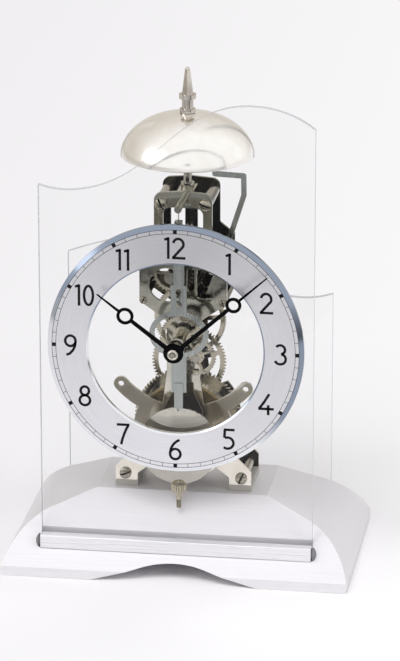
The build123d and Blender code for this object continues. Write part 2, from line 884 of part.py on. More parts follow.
# Long screws from under the base into the foot pillars
with BuildPart() as base_screws:
    for side in (-1, 1):
        screw_line = Plane(origin=(side * foot_pillar[0], movement_y, 0), x_dir=(1, 0, 0), z_dir=(0, -1, 0))
        with BuildSketch(screw_line):
            Polygon(
                (0, base_screw_recess - base_screw_head_height),
                (base_screw_head, base_screw_recess - base_screw_head_height),
                (base_screw_head, base_screw_recess),
                (base_screw_shank, base_screw_recess),
                (base_screw_shank, foot_pillar[1] - end_shake),
                (0, foot_pillar[1] - end_shake),
                align=None,
            )
        revolve(axis=Axis(screw_line.origin, (0, 0, 1)))
base_screws.part.label = "base_screws"
export_step(base_screws.part, "parts/base_screws.step")

# Mainspring barrel with the great wheel as its rear wall
great_wheel_back = great_wheel_y + 2.5
with BuildPart() as barrel:
    with BuildSketch(facing(great_wheel_back)):
        Polygon(*wheel_outline(barrel_axis, great_teeth, great_module, second_axis), align=None)
        with Locations(barrel_axis):
            Circle(barrel_arbor + running_gap, mode=Mode.SUBTRACT)
    extrude(amount=great_wheel_back - great_wheel_y)
    with BuildSketch(facing(great_wheel_y)):
        with Locations(barrel_axis):
            Circle(barrel_radius)
            Circle(barrel_radius - barrel_wall, mode=Mode.SUBTRACT)
    extrude(amount=great_wheel_y - barrel_front)
barrel.part.label = "barrel"
export_step(barrel.part, "parts/barrel.step")

with BuildPart() as barrel_cover:
    with BuildSketch(facing(barrel_front)):
        with Locations(barrel_axis):
            Circle(barrel_radius)
            Circle(barrel_arbor + running_gap, mode=Mode.SUBTRACT)
    extrude(amount=barrel_cover_thickness)
    rim_edges = barrel_cover.edges().filter_by(GeomType.CIRCLE).sort_by(SortBy.RADIUS)[-2:]
    fillet(rim_edges.sort_by(Axis.Y)[0], barrel_cover_thickness * 0.8)
barrel_cover.part.label = "barrel_cover"
export_step(barrel_cover.part, "parts/barrel_cover.step")

with BuildPart() as mainspring:
    with BuildSketch(facing(great_wheel_y - end_shake)):
        with Locations(barrel_axis):
            Circle(barrel_radius - barrel_wall - seat_gap)
            Circle(mainspring_inner, mode=Mode.SUBTRACT)
    extrude(amount=great_wheel_y - barrel_front - 2 * end_shake)
mainspring.part.label = "mainspring"
export_step(mainspring.part, "parts/mainspring.step")

# Winding arbor: core inside the barrel, pivots in both plates, square for the key at the back
ratchet_front = plate_back + end_shake
with BuildPart() as winding_arbor:
    with BuildSketch(turning_plane(barrel_axis)):
        Polygon(
            *stepped(
                (plate_front, barrel_front + end_shake, barrel_arbor),
                (barrel_front + end_shake, great_wheel_y - end_shake, barrel_core),
                (great_wheel_y - end_shake, ratchet_front + ratchet_thickness, barrel_arbor),
            ),
            align=None,
        )
    revolve(axis=turning_axis(barrel_axis))
    with BuildSketch(facing(winding_end)):
        with Locations(barrel_axis):
            Rectangle(winding_square, winding_square)
    extrude(amount=winding_end - ratchet_front - ratchet_thickness)
winding_arbor.part.label = "winding_arbor"
export_step(winding_arbor.part, "parts/winding_arbor.step")

with BuildPart() as ratchet_wheel:
    with BuildSketch(facing(ratchet_front + ratchet_thickness)):
        Polygon(*saw_outline(barrel_axis, ratchet_teeth, ratchet_radius, ratchet_depth, 0.2), align=None)
        with Locations(barrel_axis):
            Circle(barrel_arbor + seat_gap, mode=Mode.SUBTRACT)
    extrude(amount=ratchet_thickness)
ratchet_wheel.part.label = "ratchet_wheel"
export_step(ratchet_wheel.part, "parts/ratchet_wheel.step")

# Click on its shoulder screw, with its nose just off the ratchet
click_thickness = ratchet_thickness
click_reach = hypot(click_axis[0] - barrel_axis[0], click_axis[1] - barrel_axis[1])
click_turn = bearing(click_axis, barrel_axis)
click_nose = click_reach - ratchet_radius - end_shake
with BuildPart() as click:
    with BuildSketch(facing(ratchet_front + click_thickness)):
        with Locations(click_axis):
            Circle(click_boss)
        nose = (click_axis[0] + click_nose * cos(click_turn), click_axis[1] + click_nose * sin(click_turn))
        side_step = (-sin(click_turn), cos(click_turn))
        Polygon(
            (click_axis[0] + click_root * side_step[0], click_axis[1] + click_root * side_step[1]),
            (click_axis[0] - click_root * side_step[0], click_axis[1] - click_root * side_step[1]),
            (nose[0] - click_nose_back * side_step[0], nose[1] - click_nose_back * side_step[1]),
            (nose[0] + click_nose_front * side_step[0], nose[1] + click_nose_front * side_step[1]),
            align=None,
        )
        with Locations(click_axis):
            Circle(click_shoulder + running_gap, mode=Mode.SUBTRACT)
    extrude(amount=click_thickness)
click.part.label = "click"
export_step(click.part, "parts/click.step")

click_seat = ratchet_front + click_thickness + end_shake
with BuildPart() as click_screw:
    with BuildSketch(turning_plane(click_axis)):
        Polygon(
            *stepped(
                (inner_back, plate_back, screw_shank),
                (plate_back, click_seat, click_shoulder),
                (click_seat, ratchet_front + click_thickness + 2, screw_head),
            ),
            align=None,
        )
    revolve(axis=turning_axis(click_axis))
click_screw.part.label = "click_screw"
export_step(click_screw.part, "parts/click_screw.step")


# Crossed-out train wheels
def train_wheel(axis, teeth, module, mate, bore):
    """Toothed rim, five spokes and hub of a train wheel in the sketch being drawn."""
    Polygon(*wheel_outline(axis, teeth, module, mate), align=None)
    root = teeth * module / 2 - wheel_dedendum * module
    cut_spokes(axis, hub_radius, root - rim_width + 1.2, 5, spoke_width, bearing(axis, mate))
    with Locations(axis):
        Circle(bore + seat_gap, mode=Mode.SUBTRACT)


def arbor_with_leaves(radius, pivot, wheel_front):
    """Sizes of an arbor: its stepped runs and the depth span of its leaves."""
    runs = (
        (plate_front, inner_front + end_shake, pivot),
        (inner_front + end_shake, inner_back - end_shake, radius),
        (inner_back - end_shake, plate_back, pivot),
    )
    leaf_front = wheel_front - pinion_overlap
    leaf_back = wheel_front + wheel_thickness + pinion_overlap
    return runs, leaf_front, leaf_back


second_parts = arbor_with_leaves(arbor_radius, pivot_radius, great_wheel_y)
second_runs, second_leaf_front, second_leaf_back = second_parts
with BuildPart() as second_arbor:
    with BuildSketch(turning_plane(second_axis)):
        Polygon(*stepped(*second_runs), align=None)
    revolve(axis=turning_axis(second_axis))
    with BuildSketch(facing(second_leaf_back)):
        Polygon(*leaf_outline(second_axis, second_leaves, great_module, barrel_axis), align=None)
    extrude(amount=second_leaf_back - second_leaf_front)
second_arbor.part.label = "second_arbor"
export_step(second_arbor.part, "parts/second_arbor.step")

with BuildPart() as second_wheel:
    with BuildSketch(facing(second_wheel_y + wheel_thickness)):
        train_wheel(second_axis, second_teeth, second_module, hand_axis, arbor_radius)
    extrude(amount=wheel_thickness)
second_wheel.part.label = "second_wheel"
export_step(second_wheel.part, "parts/second_wheel.step")

# Centre arbor, which runs forward through the motion work to the hands
centre_leaf_front = second_wheel_y - pinion_overlap
centre_leaf_back = second_wheel_y + wheel_thickness + pinion_overlap
with BuildPart() as centre_arbor:
    with BuildSketch(turning_plane(hand_axis)):
        Polygon(
            *stepped(
                (hand_nut_end + end_shake, plate_front, centre_radius),
                (plate_front, inner_front + end_shake, cannon_pipe),
                (inner_front + end_shake, inner_back - end_shake, arbor_radius),
                (inner_back - end_shake, plate_back, centre_radius),
            ),
            align=None,
        )
    revolve(axis=turning_axis(hand_axis))
    with BuildSketch(facing(centre_leaf_back)):
        Polygon(*leaf_outline(hand_axis, centre_leaves, second_module, second_axis), align=None)
    extrude(amount=centre_leaf_back - centre_leaf_front)
centre_arbor.part.label = "centre_arbor"
export_step(centre_arbor.part, "parts/centre_arbor.step")

with BuildPart() as centre_wheel:
    with BuildSketch(facing(centre_wheel_y + wheel_thickness)):
        train_wheel(hand_axis, centre_teeth, centre_module, third_axis, arbor_radius)
    extrude(amount=wheel_thickness)
centre_wheel.part.label = "centre_wheel"
export_step(centre_wheel.part, "parts/centre_wheel.step")

# Lifting cam for the strike, a disc that falls away in one step
with BuildPart() as lifting_cam:
    with BuildSketch(facing(cam_y + wheel_thickness)):
        with Locations(hand_axis):
            Circle(cam_low)
        with BuildLine() as cam_edge:
            quarter = [
                (
                    hand_axis[0] + radius * cos(turn),
                    hand_axis[1] + radius * sin(turn),
                )
                for radius, turn in ((cam_radius, -pi / 2), (cam_middle, 0.0), (cam_low, pi / 2))
            ]
            ThreePointArc(*quarter)
            Polyline(quarter[-1], hand_axis, quarter[0])
        make_face(cam_edge.edges())
        with Locations(hand_axis):
            Circle(arbor_radius + seat_gap, mode=Mode.SUBTRACT)
    extrude(amount=wheel_thickness)
lifting_cam.part.label = "lifting_cam"
export_step(lifting_cam.part, "parts/lifting_cam.step")

third_runs, third_leaf_front, third_leaf_back = arbor_with_leaves(fine_arbor, fine_pivot, centre_wheel_y)
with BuildPart() as third_arbor:
    with BuildSketch(turning_plane(third_axis)):
        Polygon(*stepped(*third_runs), align=None)
    revolve(axis=turning_axis(third_axis))
    with BuildSketch(facing(third_leaf_back)):
        Polygon(*leaf_outline(third_axis, third_leaves, centre_module, hand_axis), align=None)
    extrude(amount=third_leaf_back - third_leaf_front)
third_arbor.part.label = "third_arbor"
export_step(third_arbor.part, "parts/third_arbor.step")

with BuildPart() as third_wheel:
    with BuildSketch(facing(third_wheel_y + wheel_thickness)):
        train_wheel(third_axis, third_teeth, third_module, escape_axis, fine_arbor)
    extrude(amount=wheel_thickness)
third_wheel.part.label = "third_wheel"
export_step(third_wheel.part, "parts/third_wheel.step")

escape_runs, escape_leaf_front, escape_leaf_back = arbor_with_leaves(fine_arbor, fine_pivot, third_wheel_y)
with BuildPart() as escape_arbor:
    with BuildSketch(turning_plane(escape_axis)):
        Polygon(*stepped(*escape_runs), align=None)
    revolve(axis=turning_axis(escape_axis))
    with BuildSketch(facing(escape_leaf_back)):
        Polygon(*leaf_outline(escape_axis, escape_leaves, third_module, third_axis), align=None)
    extrude(amount=escape_leaf_back - escape_leaf_front)
escape_arbor.part.label = "escape_arbor"
export_step(escape_arbor.part, "parts/escape_arbor.step")

with BuildPart() as escape_wheel:
    with BuildSketch(facing(escape_wheel_y + escape_thickness)):
        Polygon(*saw_outline(escape_axis, escape_teeth, escape_radius, escape_depth, 0.3), align=None)
        cut_spokes(escape_axis, hub_radius * 0.7, escape_radius - escape_depth - 1.6, 4, spoke_width * 0.7)
        with Locations(escape_axis):
            Circle(fine_arbor + seat_gap, mode=Mode.SUBTRACT)
    extrude(amount=escape_thickness)
escape_wheel.part.label = "escape_wheel"
export_step(escape_wheel.part, "parts/escape_wheel.step")

# Motion work in front of the front plate
cannon_back = plate_front - 2 * end_shake
cannon_leaf_front = cannon_back - 2.4
minute_wheel_front = cannon_leaf_front + 0.4
hour_wheel_back = cannon_leaf_front - 1.0
hour_wheel_front = hour_wheel_back - wheel_thickness
with BuildPart() as cannon_pinion:
    with BuildSketch(facing(cannon_back)):
        Polygon(*leaf_outline(hand_axis, cannon_leaves, minute_module, minute_axis), align=None)
    extrude(amount=cannon_back - cannon_leaf_front)
    with BuildSketch(facing(cannon_leaf_front)):
        with Locations(hand_axis):
            Circle(cannon_pipe)
    extrude(amount=cannon_leaf_front - minute_hand_y)
    with BuildSketch(facing(cannon_back)):
        with Locations(hand_axis):
            Circle(centre_radius + seat_gap)
    extrude(amount=cannon_back - minute_hand_y, mode=Mode.SUBTRACT)
cannon_pinion.part.label = "cannon_pinion"
export_step(cannon_pinion.part, "parts/cannon_pinion.step")

with BuildPart() as minute_wheel:
    with BuildSketch(facing(minute_wheel_front + wheel_thickness)):
        Polygon(*wheel_outline(minute_axis, minute_teeth, minute_module, hand_axis), align=None)
        with Locations(minute_axis):
            Circle(stud_radius + running_gap, mode=Mode.SUBTRACT)
    extrude(amount=wheel_thickness)
    with BuildSketch(facing(minute_wheel_front)):
        Polygon(*leaf_outline(minute_axis, minute_leaves, hour_module, hand_axis), align=None)
        with Locations(minute_axis):
            Circle(stud_radius + running_gap, mode=Mode.SUBTRACT)
    extrude(amount=minute_wheel_front - hour_wheel_front + 0.4)
minute_wheel.part.label = "minute_wheel"
export_step(minute_wheel.part, "parts/minute_wheel.step")

minute_stud_end = hour_wheel_front - 1.0
with BuildPart() as minute_stud:
    with BuildSketch(turning_plane(minute_axis)):
        Polygon(
            *stepped(
                (minute_stud_end - 0.8, minute_stud_end, stud_radius + 1.0),
                (minute_stud_end, minute_wheel_front + wheel_thickness + 0.2, stud_radius),
                (minute_wheel_front + wheel_thickness + 0.2, plate_front, stud_radius + 0.8),
                (plate_front, inner_front, stud_radius),
            ),
            align=None,
        )
    revolve(axis=turning_axis(minute_axis))
minute_stud.part.label = "minute_stud"
export_step(minute_stud.part, "parts/minute_stud.step")

with BuildPart() as hour_wheel:
    with BuildSketch(facing(hour_wheel_back)):
        Polygon(*wheel_outline(hand_axis, hour_teeth, hour_module, minute_axis), align=None)
        cut_spokes(hand_axis, hour_pipe + 2.4, hour_teeth * hour_module / 2 - 2.4, 3, spoke_width, 0.4)
    extrude(amount=wheel_thickness)
    with BuildSketch(facing(hour_wheel_front)):
        with Locations(hand_axis):
            Circle(hour_pipe)
    extrude(amount=hour_wheel_front - hour_hand_y)
    with BuildSketch(facing(hour_wheel_back)):
        with Locations(hand_axis):
            Circle(cannon_pipe + running_gap)
    extrude(amount=hour_wheel_back - hour_hand_y, mode=Mode.SUBTRACT)
hour_wheel.part.label = "hour_wheel"
export_step(hour_wheel.part, "parts/hour_wheel.step")


# Hands with a ring along the blade
def hand_outline(angle, length, ring_at, ring, hub, bore):
    """Hub, tapered blade and ring of a hand pointing clockwise from twelve by angle."""
    turn = radians(90 - angle)
    along, aside = (cos(turn), sin(turn)), (-sin(turn), cos(turn))

    def at(distance, offset):
        return (
            hand_axis[0] + distance * along[0] + offset * aside[0],
            hand_axis[1] + distance * along[1] + offset * aside[1],
        )

    Polygon(
        at(0, hand_blade / 2),
        at(ring_at - ring, hand_neck / 2),
        at(ring_at + ring, hand_point / 2),
        at(length, hand_tip / 2),
        at(length, -hand_tip / 2),
        at(ring_at + ring, -hand_point / 2),
        at(ring_at - ring, -hand_neck / 2),
        at(0, -hand_blade / 2),
        align=None,
    )
    with Locations(at(ring_at, 0)):
        Circle(ring)
        Circle(ring - hand_ring_width, mode=Mode.SUBTRACT)
    with Locations(hand_axis):
        Circle(hub)
        Circle(bore + seat_gap, mode=Mode.SUBTRACT)


with BuildPart() as hour_hand:
    with BuildSketch(facing(hour_hand_y + hand_thickness)):
        hand_outline(hour_hand_angle, hour_hand_length, hour_ring_at, hour_ring, hour_hub, hour_pipe)
    extrude(amount=hand_thickness)
hour_hand.part.label = "hour_hand"
export_step(hour_hand.part, "parts/hour_hand.step")

with BuildPart() as minute_hand:
    with BuildSketch(facing(minute_hand_y + hand_thickness)):
        hand_outline(
            minute_hand_angle, minute_hand_length, minute_ring_at, minute_ring, minute_hub, cannon_pipe
        )
    extrude(amount=hand_thickness)
minute_hand.part.label = "minute_hand"
export_step(minute_hand.part, "parts/minute_hand.step")

with BuildPart() as hand_nut:
    with BuildSketch(turning_plane(hand_axis)):
        Polygon(
            (minute_hand_y, centre_radius + seat_gap),
            (minute_hand_y, hand_nut_radius),
            (minute_hand_y - 1.0, hand_nut_radius),
            (hand_nut_end, hand_nut_radius - 1.0),
            (hand_nut_end, centre_radius + seat_gap),
            align=None,
        )
    revolve(axis=turning_axis(hand_axis))
hand_nut.part.label = "hand_nut"
export_step(hand_nut.part, "parts/hand_nut.step")

# Verge arbor, anchor and crutch
with BuildPart() as verge_arbor:
    with BuildSketch(turning_plane(verge_axis)):
        Polygon(
            *stepped(
                (crutch_y, inner_front + end_shake, pivot_radius),
                (inner_front + end_shake, inner_back - end_shake, arbor_radius),
                (inner_back - end_shake, plate_back, pivot_radius),
            ),
            align=None,
        )
    revolve(axis=turning_axis(verge_axis))
verge_arbor.part.label = "verge_arbor"
export_step(verge_arbor.part, "parts/verge_arbor.step")

anchor_reach = hypot(verge_axis[0] - escape_axis[0], verge_axis[1] - escape_axis[1])
anchor_span = acos(escape_radius / anchor_reach)
anchor_turn = bearing(escape_axis, verge_axis)
with BuildPart() as anchor:
    with BuildSketch(facing(escape_wheel_y + wheel_thickness)):
        with Locations(verge_axis):
            Circle(anchor_arm + 0.6)
        for sense in (-1, 1):
            turn = anchor_turn + sense * anchor_span
            out = (cos(turn), sin(turn))
            nose = tuple(escape_axis[i] + (escape_radius + pallet_clear) * out[i] for i in (0, 1))
            elbow = tuple(escape_axis[i] + (escape_radius + pallet_clear + 4.5) * out[i] for i in (0, 1))
            bar_between(verge_axis, elbow, anchor_arm)
            with Locations(elbow):
                Circle(anchor_arm / 2)
            across = (-out[1] * anchor_arm / 2, out[0] * anchor_arm / 2)
            Polygon(
                (elbow[0] + across[0], elbow[1] + across[1]),
                (elbow[0] - across[0], elbow[1] - across[1]),
                (nose[0], nose[1]),
                align=None,
            )
        with Locations(verge_axis):
            Circle(arbor_radius + seat_gap, mode=Mode.SUBTRACT)
    extrude(amount=wheel_thickness)
anchor.part.label = "anchor"
export_step(anchor.part, "parts/anchor.step")

with BuildPart() as crutch:
    with BuildSketch(facing(crutch_y + crutch_thickness)):
        bar_between(verge_axis, (verge_axis[0], crutch_pin_height), crutch_width)
        with Locations(verge_axis):
            Circle(crutch_width)
            Circle(pivot_radius + seat_gap, mode=Mode.SUBTRACT)
        with Locations((verge_axis[0], crutch_pin_height)):
            Circle(crutch_width / 2)
    extrude(amount=crutch_thickness)
    with BuildSketch(facing(crutch_y)):
        with Locations((verge_axis[0], crutch_pin_height)):
            Circle(crutch_pin)
    extrude(amount=crutch_y - pendulum_y + 2)
crutch.part.label = "crutch"
export_step(crutch.part, "parts/crutch.step")

# Suspension post on the head of the front plate, slit at its end for the spring
with BuildPart() as suspension_stud:
    with BuildSketch(turning_plane((0, suspension_height))):
        Polygon(
            *stepped(
                (pendulum_y - suspension_spring_width / 2 - 1, plate_front, suspension_post),
                (plate_front, inner_front + screw_depth - end_shake, screw_shank),
            ),
            align=None,
        )
    revolve(axis=turning_axis((0, suspension_height)))
    with Locations((0, pendulum_y, suspension_height + 1)):
        Box(
            2 * spring_slit,
            suspension_spring_width + 2 * pane_gap,
            suspension_post * 2 + 2,
            align=(Align.CENTER, Align.CENTER, Align.MAX),
            mode=Mode.SUBTRACT,
        )
suspension_stud.part.label = "suspension_stud"
export_step(suspension_stud.part, "parts/suspension_stud.step")

with BuildPart() as suspension_spring:
    with Locations((0, pendulum_y, rod_top + 1)):
        Box(
            suspension_spring_thickness,
            suspension_spring_width,
            suspension_height - rod_top - 1,
            align=(Align.CENTER, Align.CENTER, Align.MIN),
        )
    with Locations((0, pendulum_y, rod_top)):
        Box(
            2 * chop_half,
            suspension_spring_width,
            chop_height,
            align=(Align.CENTER, Align.CENTER, Align.MIN),
        )
suspension_spring.part.label = "suspension_spring"
export_step(suspension_spring.part, "parts/suspension_spring.step")

# Pendulum rod: flat strip with a keyhole slot and an oval that passes round the hand pipes
with BuildPart() as pendulum_rod:
    with BuildSketch(facing(pendulum_y + strip_thickness / 2)):
        bar_between((0, rod_top), (0, slot_section[1] - 1), upper_strip)
        bar_between((0, slot_section[1]), (0, oval_centre), slot_strip)
        bar_between((0, oval_centre), (0, lower_strip_end), lower_strip)
        with Locations((0, oval_centre)):
            Ellipse(oval_width / 2, oval_height / 2)
            Ellipse(oval_width / 2 - oval_band, oval_height / 2 - oval_band, mode=Mode.SUBTRACT)
        with Locations((0, crutch_pin_height)):
            SlotOverall(slot_section[1] - slot_section[0] - 3, slot_width, rotation=90, mode=Mode.SUBTRACT)
        with Locations(*[(0, crutch_pin_height + end * slot_lobe_apart / 2) for end in (-1, 1)]):
            Circle(slot_lobe, mode=Mode.SUBTRACT)
        with Locations((0, hanger_top - hanger_hook)):
            Rectangle(hanger_strip + 2 * pane_gap, hanger_hook + 2 * pane_gap, mode=Mode.SUBTRACT)
    extrude(amount=strip_thickness)
pendulum_rod.part.label = "pendulum_rod"
export_step(pendulum_rod.part, "parts/pendulum_rod.step")

# Bob hanger: a strip that hooks in the rod and ends below the bob in a threaded stem
strip_front = pendulum_y - strip_thickness / 2
with BuildPart() as bob_hanger:
    with BuildSketch(facing(strip_front)):
        bar_between((0, hanger_top), (0, bob_top - 8), hanger_strip)
    extrude(amount=strip_thickness)
    with Locations((0, strip_front, hanger_top - hanger_hook)):
        Box(
            hanger_strip,
            2 * strip_thickness,
            hanger_hook,
            align=(Align.CENTER, Align.MIN, Align.CENTER),
        )
    with Locations((0, strip_front - strip_thickness / 2, rating_rod_end)):
        Cylinder(
            rating_rod,
            bob_top - 4 - rating_rod_end,
            align=(Align.CENTER, Align.CENTER, Align.MIN),
        )
bob_hanger.part.label = "bob_hanger"
export_step(bob_hanger.part, "parts/bob_hanger.step")

# Bob, a lens bored for the stem and slotted at the top for the strip
stem_y = strip_front - strip_thickness / 2
with BuildPart() as bob:
    with BuildSketch(turning_plane((0, bob_centre))):
        with BuildLine():
            rim = bob_edge / 2
            bulge = 0.72 * bob_radius
            Line((stem_y - rim, bob_radius), (stem_y + rim, bob_radius))
            crown = bob_half_thickness - rim
            crown_radius = (bob_radius**2 + crown**2) / (2 * crown)
            dip = crown_radius - sqrt(crown_radius**2 - bulge**2)
            ThreePointArc(
                (stem_y + rim, bob_radius),
                (stem_y + bob_half_thickness - dip, bulge),
                (stem_y + bob_half_thickness, 0),
            )
            Line((stem_y + bob_half_thickness, 0), (stem_y - bob_half_thickness, 0))
            ThreePointArc(
                (stem_y - bob_half_thickness, 0),
                (stem_y - bob_half_thickness + dip, bulge),
                (stem_y - rim, bob_radius),
            )
        make_face()
    revolve(axis=turning_axis((0, bob_centre)))
    with Locations((0, stem_y, bob_centre)):
        Cylinder(rating_rod + running_gap, 2 * bob_radius + 2, mode=Mode.SUBTRACT)
    with Locations((0, stem_y, bob_top - 11)):
        Box(
            hanger_strip + 2 * pane_gap,
            strip_thickness + 2 * pane_gap,
            14,
            align=(Align.CENTER, Align.CENTER, Align.MIN),
            mode=Mode.SUBTRACT,
        )
bob.part.label = "bob"
export_step(bob.part, "parts/bob.step")

nut_top = bob_centre - bob_radius - seat_gap
with BuildPart() as rating_nut:
    nut_plane = Plane(origin=(0, stem_y, 0), x_dir=(1, 0, 0), z_dir=(0, -1, 0))
    with BuildSketch(nut_plane):
        Polygon(
            (rating_rod + running_gap, nut_top),
            (rating_nut_radius, nut_top),
            (rating_nut_radius, nut_top - rating_nut_height),
            (rating_nut_radius - 1.2, nut_top - rating_nut_height),
            (rating_rod + 0.8, nut_top - rating_nut_height - rating_cone_height),
            (rating_rod + running_gap, nut_top - rating_nut_height - rating_cone_height),
            align=None,
        )
    revolve(axis=Axis(nut_plane.origin, (0, 0, 1)))
rating_nut.part.label = "rating_nut"
export_step(rating_nut.part, "parts/rating_nut.step")

# Bridge across the head of the plates, and the post, bell and finial on it
bridge_bottom = suspension_height - bridge_height / 2
with BuildPart() as bell_bridge:
    with Locations((0, (inner_front + inner_back) / 2, suspension_height)):
        Box(2 * bridge_half_width, plate_space, bridge_height)
    for end, sense in ((inner_front, 1), (inner_back, -1)):
        with BuildSketch(facing(max(end, end + sense * screw_depth))):
            with Locations((0, suspension_height)):
                Circle(screw_shank + seat_gap)
        extrude(amount=screw_depth, mode=Mode.SUBTRACT)
    with Locations((0, bell_y, bridge_bottom + bridge_height)):
        Cylinder(
            bell_thread + seat_gap,
            bridge_height,
            align=(Align.CENTER, Align.CENTER, Align.MAX),
            mode=Mode.SUBTRACT,
        )
bell_bridge.part.label = "bell_bridge"
export_step(bell_bridge.part, "parts/bell_bridge.step")

with BuildPart() as bridge_screw:
    with BuildSketch(turning_plane((0, suspension_height))):
        screw_profile(screw_shank, screw_head * 0.8, False)
    revolve(axis=turning_axis((0, suspension_height)))
bridge_screw.part.label = "bridge_screw"
export_step(bridge_screw.part, "parts/bridge_screw.step")

bell_line = Plane(origin=(0, bell_y, 0), x_dir=(1, 0, 0), z_dir=(0, -1, 0))
bell_axis = Axis((0, bell_y, 0), (0, 0, 1))
bridge_top = bridge_bottom + bridge_height
bell_seat = bell_apex - bell_wall
finial_bore = bell_apex + finial_thread
with BuildPart() as bell_post:
    with BuildSketch(bell_line):
        Polygon(
            (0, bridge_bottom + end_shake),
            (bell_thread, bridge_bottom + end_shake),
            (bell_thread, bridge_top),
            (bell_post_radius + 1.6, bridge_top),
            (bell_post_radius + 1.6, bridge_top + 3),
            (bell_post_radius, bridge_top + 3),
            (bell_post_radius, bell_seat - bell_washer_thickness),
            (bell_washer, bell_seat - bell_washer_thickness),
            (bell_washer, bell_seat),
            (bell_thread, bell_seat),
            (bell_thread, finial_bore - end_shake),
            (0, finial_bore - end_shake),
            align=None,
        )
    revolve(axis=bell_axis)
bell_post.part.label = "bell_post"
export_step(bell_post.part, "parts/bell_post.step")


# The bell is spun to one round curve from a flat crown down to the rim
bell_curve = ((bell_radius - bell_crown) ** 2 + bell_height**2) / (2 * bell_height)
curve_height = bell_apex - bell_curve
post_hole = bell_thread + running_gap


def bell_wall_arc(curve):
    """Arc of the bell's wall with the given curve radius, from the crown to the rim."""
    rim_turn = asin((bell_rim - curve_height) / curve)
    turns = (pi / 2, (pi / 2 + rim_turn) / 2, rim_turn)
    return [(bell_crown + curve * cos(turn), curve_height + curve * sin(turn)) for turn in turns]


with BuildPart() as bell:
    with BuildSketch(bell_line):
        with BuildLine():
            outer, inner = bell_wall_arc(bell_curve), bell_wall_arc(bell_curve - bell_wall)
            ThreePointArc(*outer)
            Line(outer[-1], inner[-1])
            ThreePointArc(*reversed(inner))
            Polyline(inner[0], (post_hole, bell_seat), (post_hole, bell_apex), outer[0])
        make_face()
    revolve(axis=bell_axis)
bell.part.label = "bell"
export_step(bell.part, "parts/bell.step")

with BuildPart() as finial:
    with BuildSketch(bell_line):
        with BuildLine():
            Polyline(
                (0, finial_bore),
                (bell_thread + seat_gap, finial_bore),
                (bell_thread + seat_gap, bell_apex),
                (finial_ring, bell_apex),
                (finial_ring, bell_apex + finial_ring_rise),
                (finial_body, bell_apex + finial_ring_rise),
                (finial_body, bell_apex + finial_body_rise),
                (finial_flange, bell_apex + finial_body_rise),
                (finial_flange, bell_apex + finial_flange_rise),
                (finial_body, bell_apex + finial_flange_rise),
                (finial_tip, bell_apex + finial_cone_rise),
            )
            tip_arc = dome(bell_apex + finial_cone_rise, finial_rise - finial_cone_rise, finial_tip)
            ThreePointArc(*[(radius, height) for height, radius in tip_arc])
            Line((0, bell_apex + finial_rise), (0, finial_bore))
        make_face()
    revolve(axis=bell_axis)
finial.part.label = "finial"
export_step(finial.part, "parts/finial.step")

# Hammer: arbor with a tail to the cam, a bent strip up into the bell, and the head
with BuildPart() as hammer_arbor:
    with BuildSketch(turning_plane(hammer_axis)):
        Polygon(
            *stepped(
                (plate_front, inner_front + end_shake, pivot_radius),
                (inner_front + end_shake, inner_back - end_shake, arbor_radius),
                (inner_back - end_shake, plate_back, pivot_radius),
            ),
            align=None,
        )
    revolve(axis=turning_axis(hammer_axis))
    with BuildSketch(facing(cam_y + wheel_thickness)):
        bar_between(hammer_axis, hammer_tail, hammer_strip)
        with Locations(hammer_axis):
            Circle(hammer_strip)
        with Locations(hammer_tail):
            Circle(hammer_strip / 2)
    extrude(amount=wheel_thickness)
hammer_arbor.part.label = "hammer_arbor"
export_step(hammer_arbor.part, "parts/hammer_arbor.step")

hammer_back = bell_y + hammer_thickness / 2
with BuildPart() as hammer_arm:
    with BuildSketch(facing(hammer_back)):
        stops = [hammer_axis] + hammer_bends
        for start, end in zip(stops, stops[1:]):
            bar_between(start, end, hammer_strip)
        with Locations(*hammer_bends[:-1]):
            Circle(hammer_strip / 2)
        with Locations(hammer_axis):
            Circle(hammer_strip)
        with Locations(hammer_bends[-1]):
            Circle(hammer_strip * 0.8)
        with Locations(hammer_axis):
            Circle(arbor_radius + seat_gap, mode=Mode.SUBTRACT)
    extrude(amount=hammer_thickness)
hammer_arm.part.label = "hammer_arm"
export_step(hammer_arm.part, "parts/hammer_arm.step")

head_start = hammer_bends[-1][0] + hammer_strip * 0.8
with BuildPart() as hammer_head:
    head_plane = Plane(
        origin=(0, bell_y, hammer_bends[-1][1]), x_dir=(1, 0, 0), z_dir=(0, -1, 0)
    )
    with BuildSketch(head_plane):
        Polygon(
            (head_start, 0),
            (head_start, hammer_head_radius - 0.8),
            (head_start + 0.8, hammer_head_radius),
            (hammer_head_reach - 2.0, hammer_head_radius),
            (hammer_head_reach, hammer_head_radius - 1.6),
            (hammer_head_reach, 0),
            align=None,
        )
    revolve(axis=Axis(head_plane.origin, (1, 0, 0)))
hammer_head.part.label = "hammer_head"
export_step(hammer_head.part, "parts/hammer_head.step")
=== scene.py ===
import bmesh
import bpy
from math import asin, cos, pi, radians, sin, tau
from mathutils import Matrix, Vector


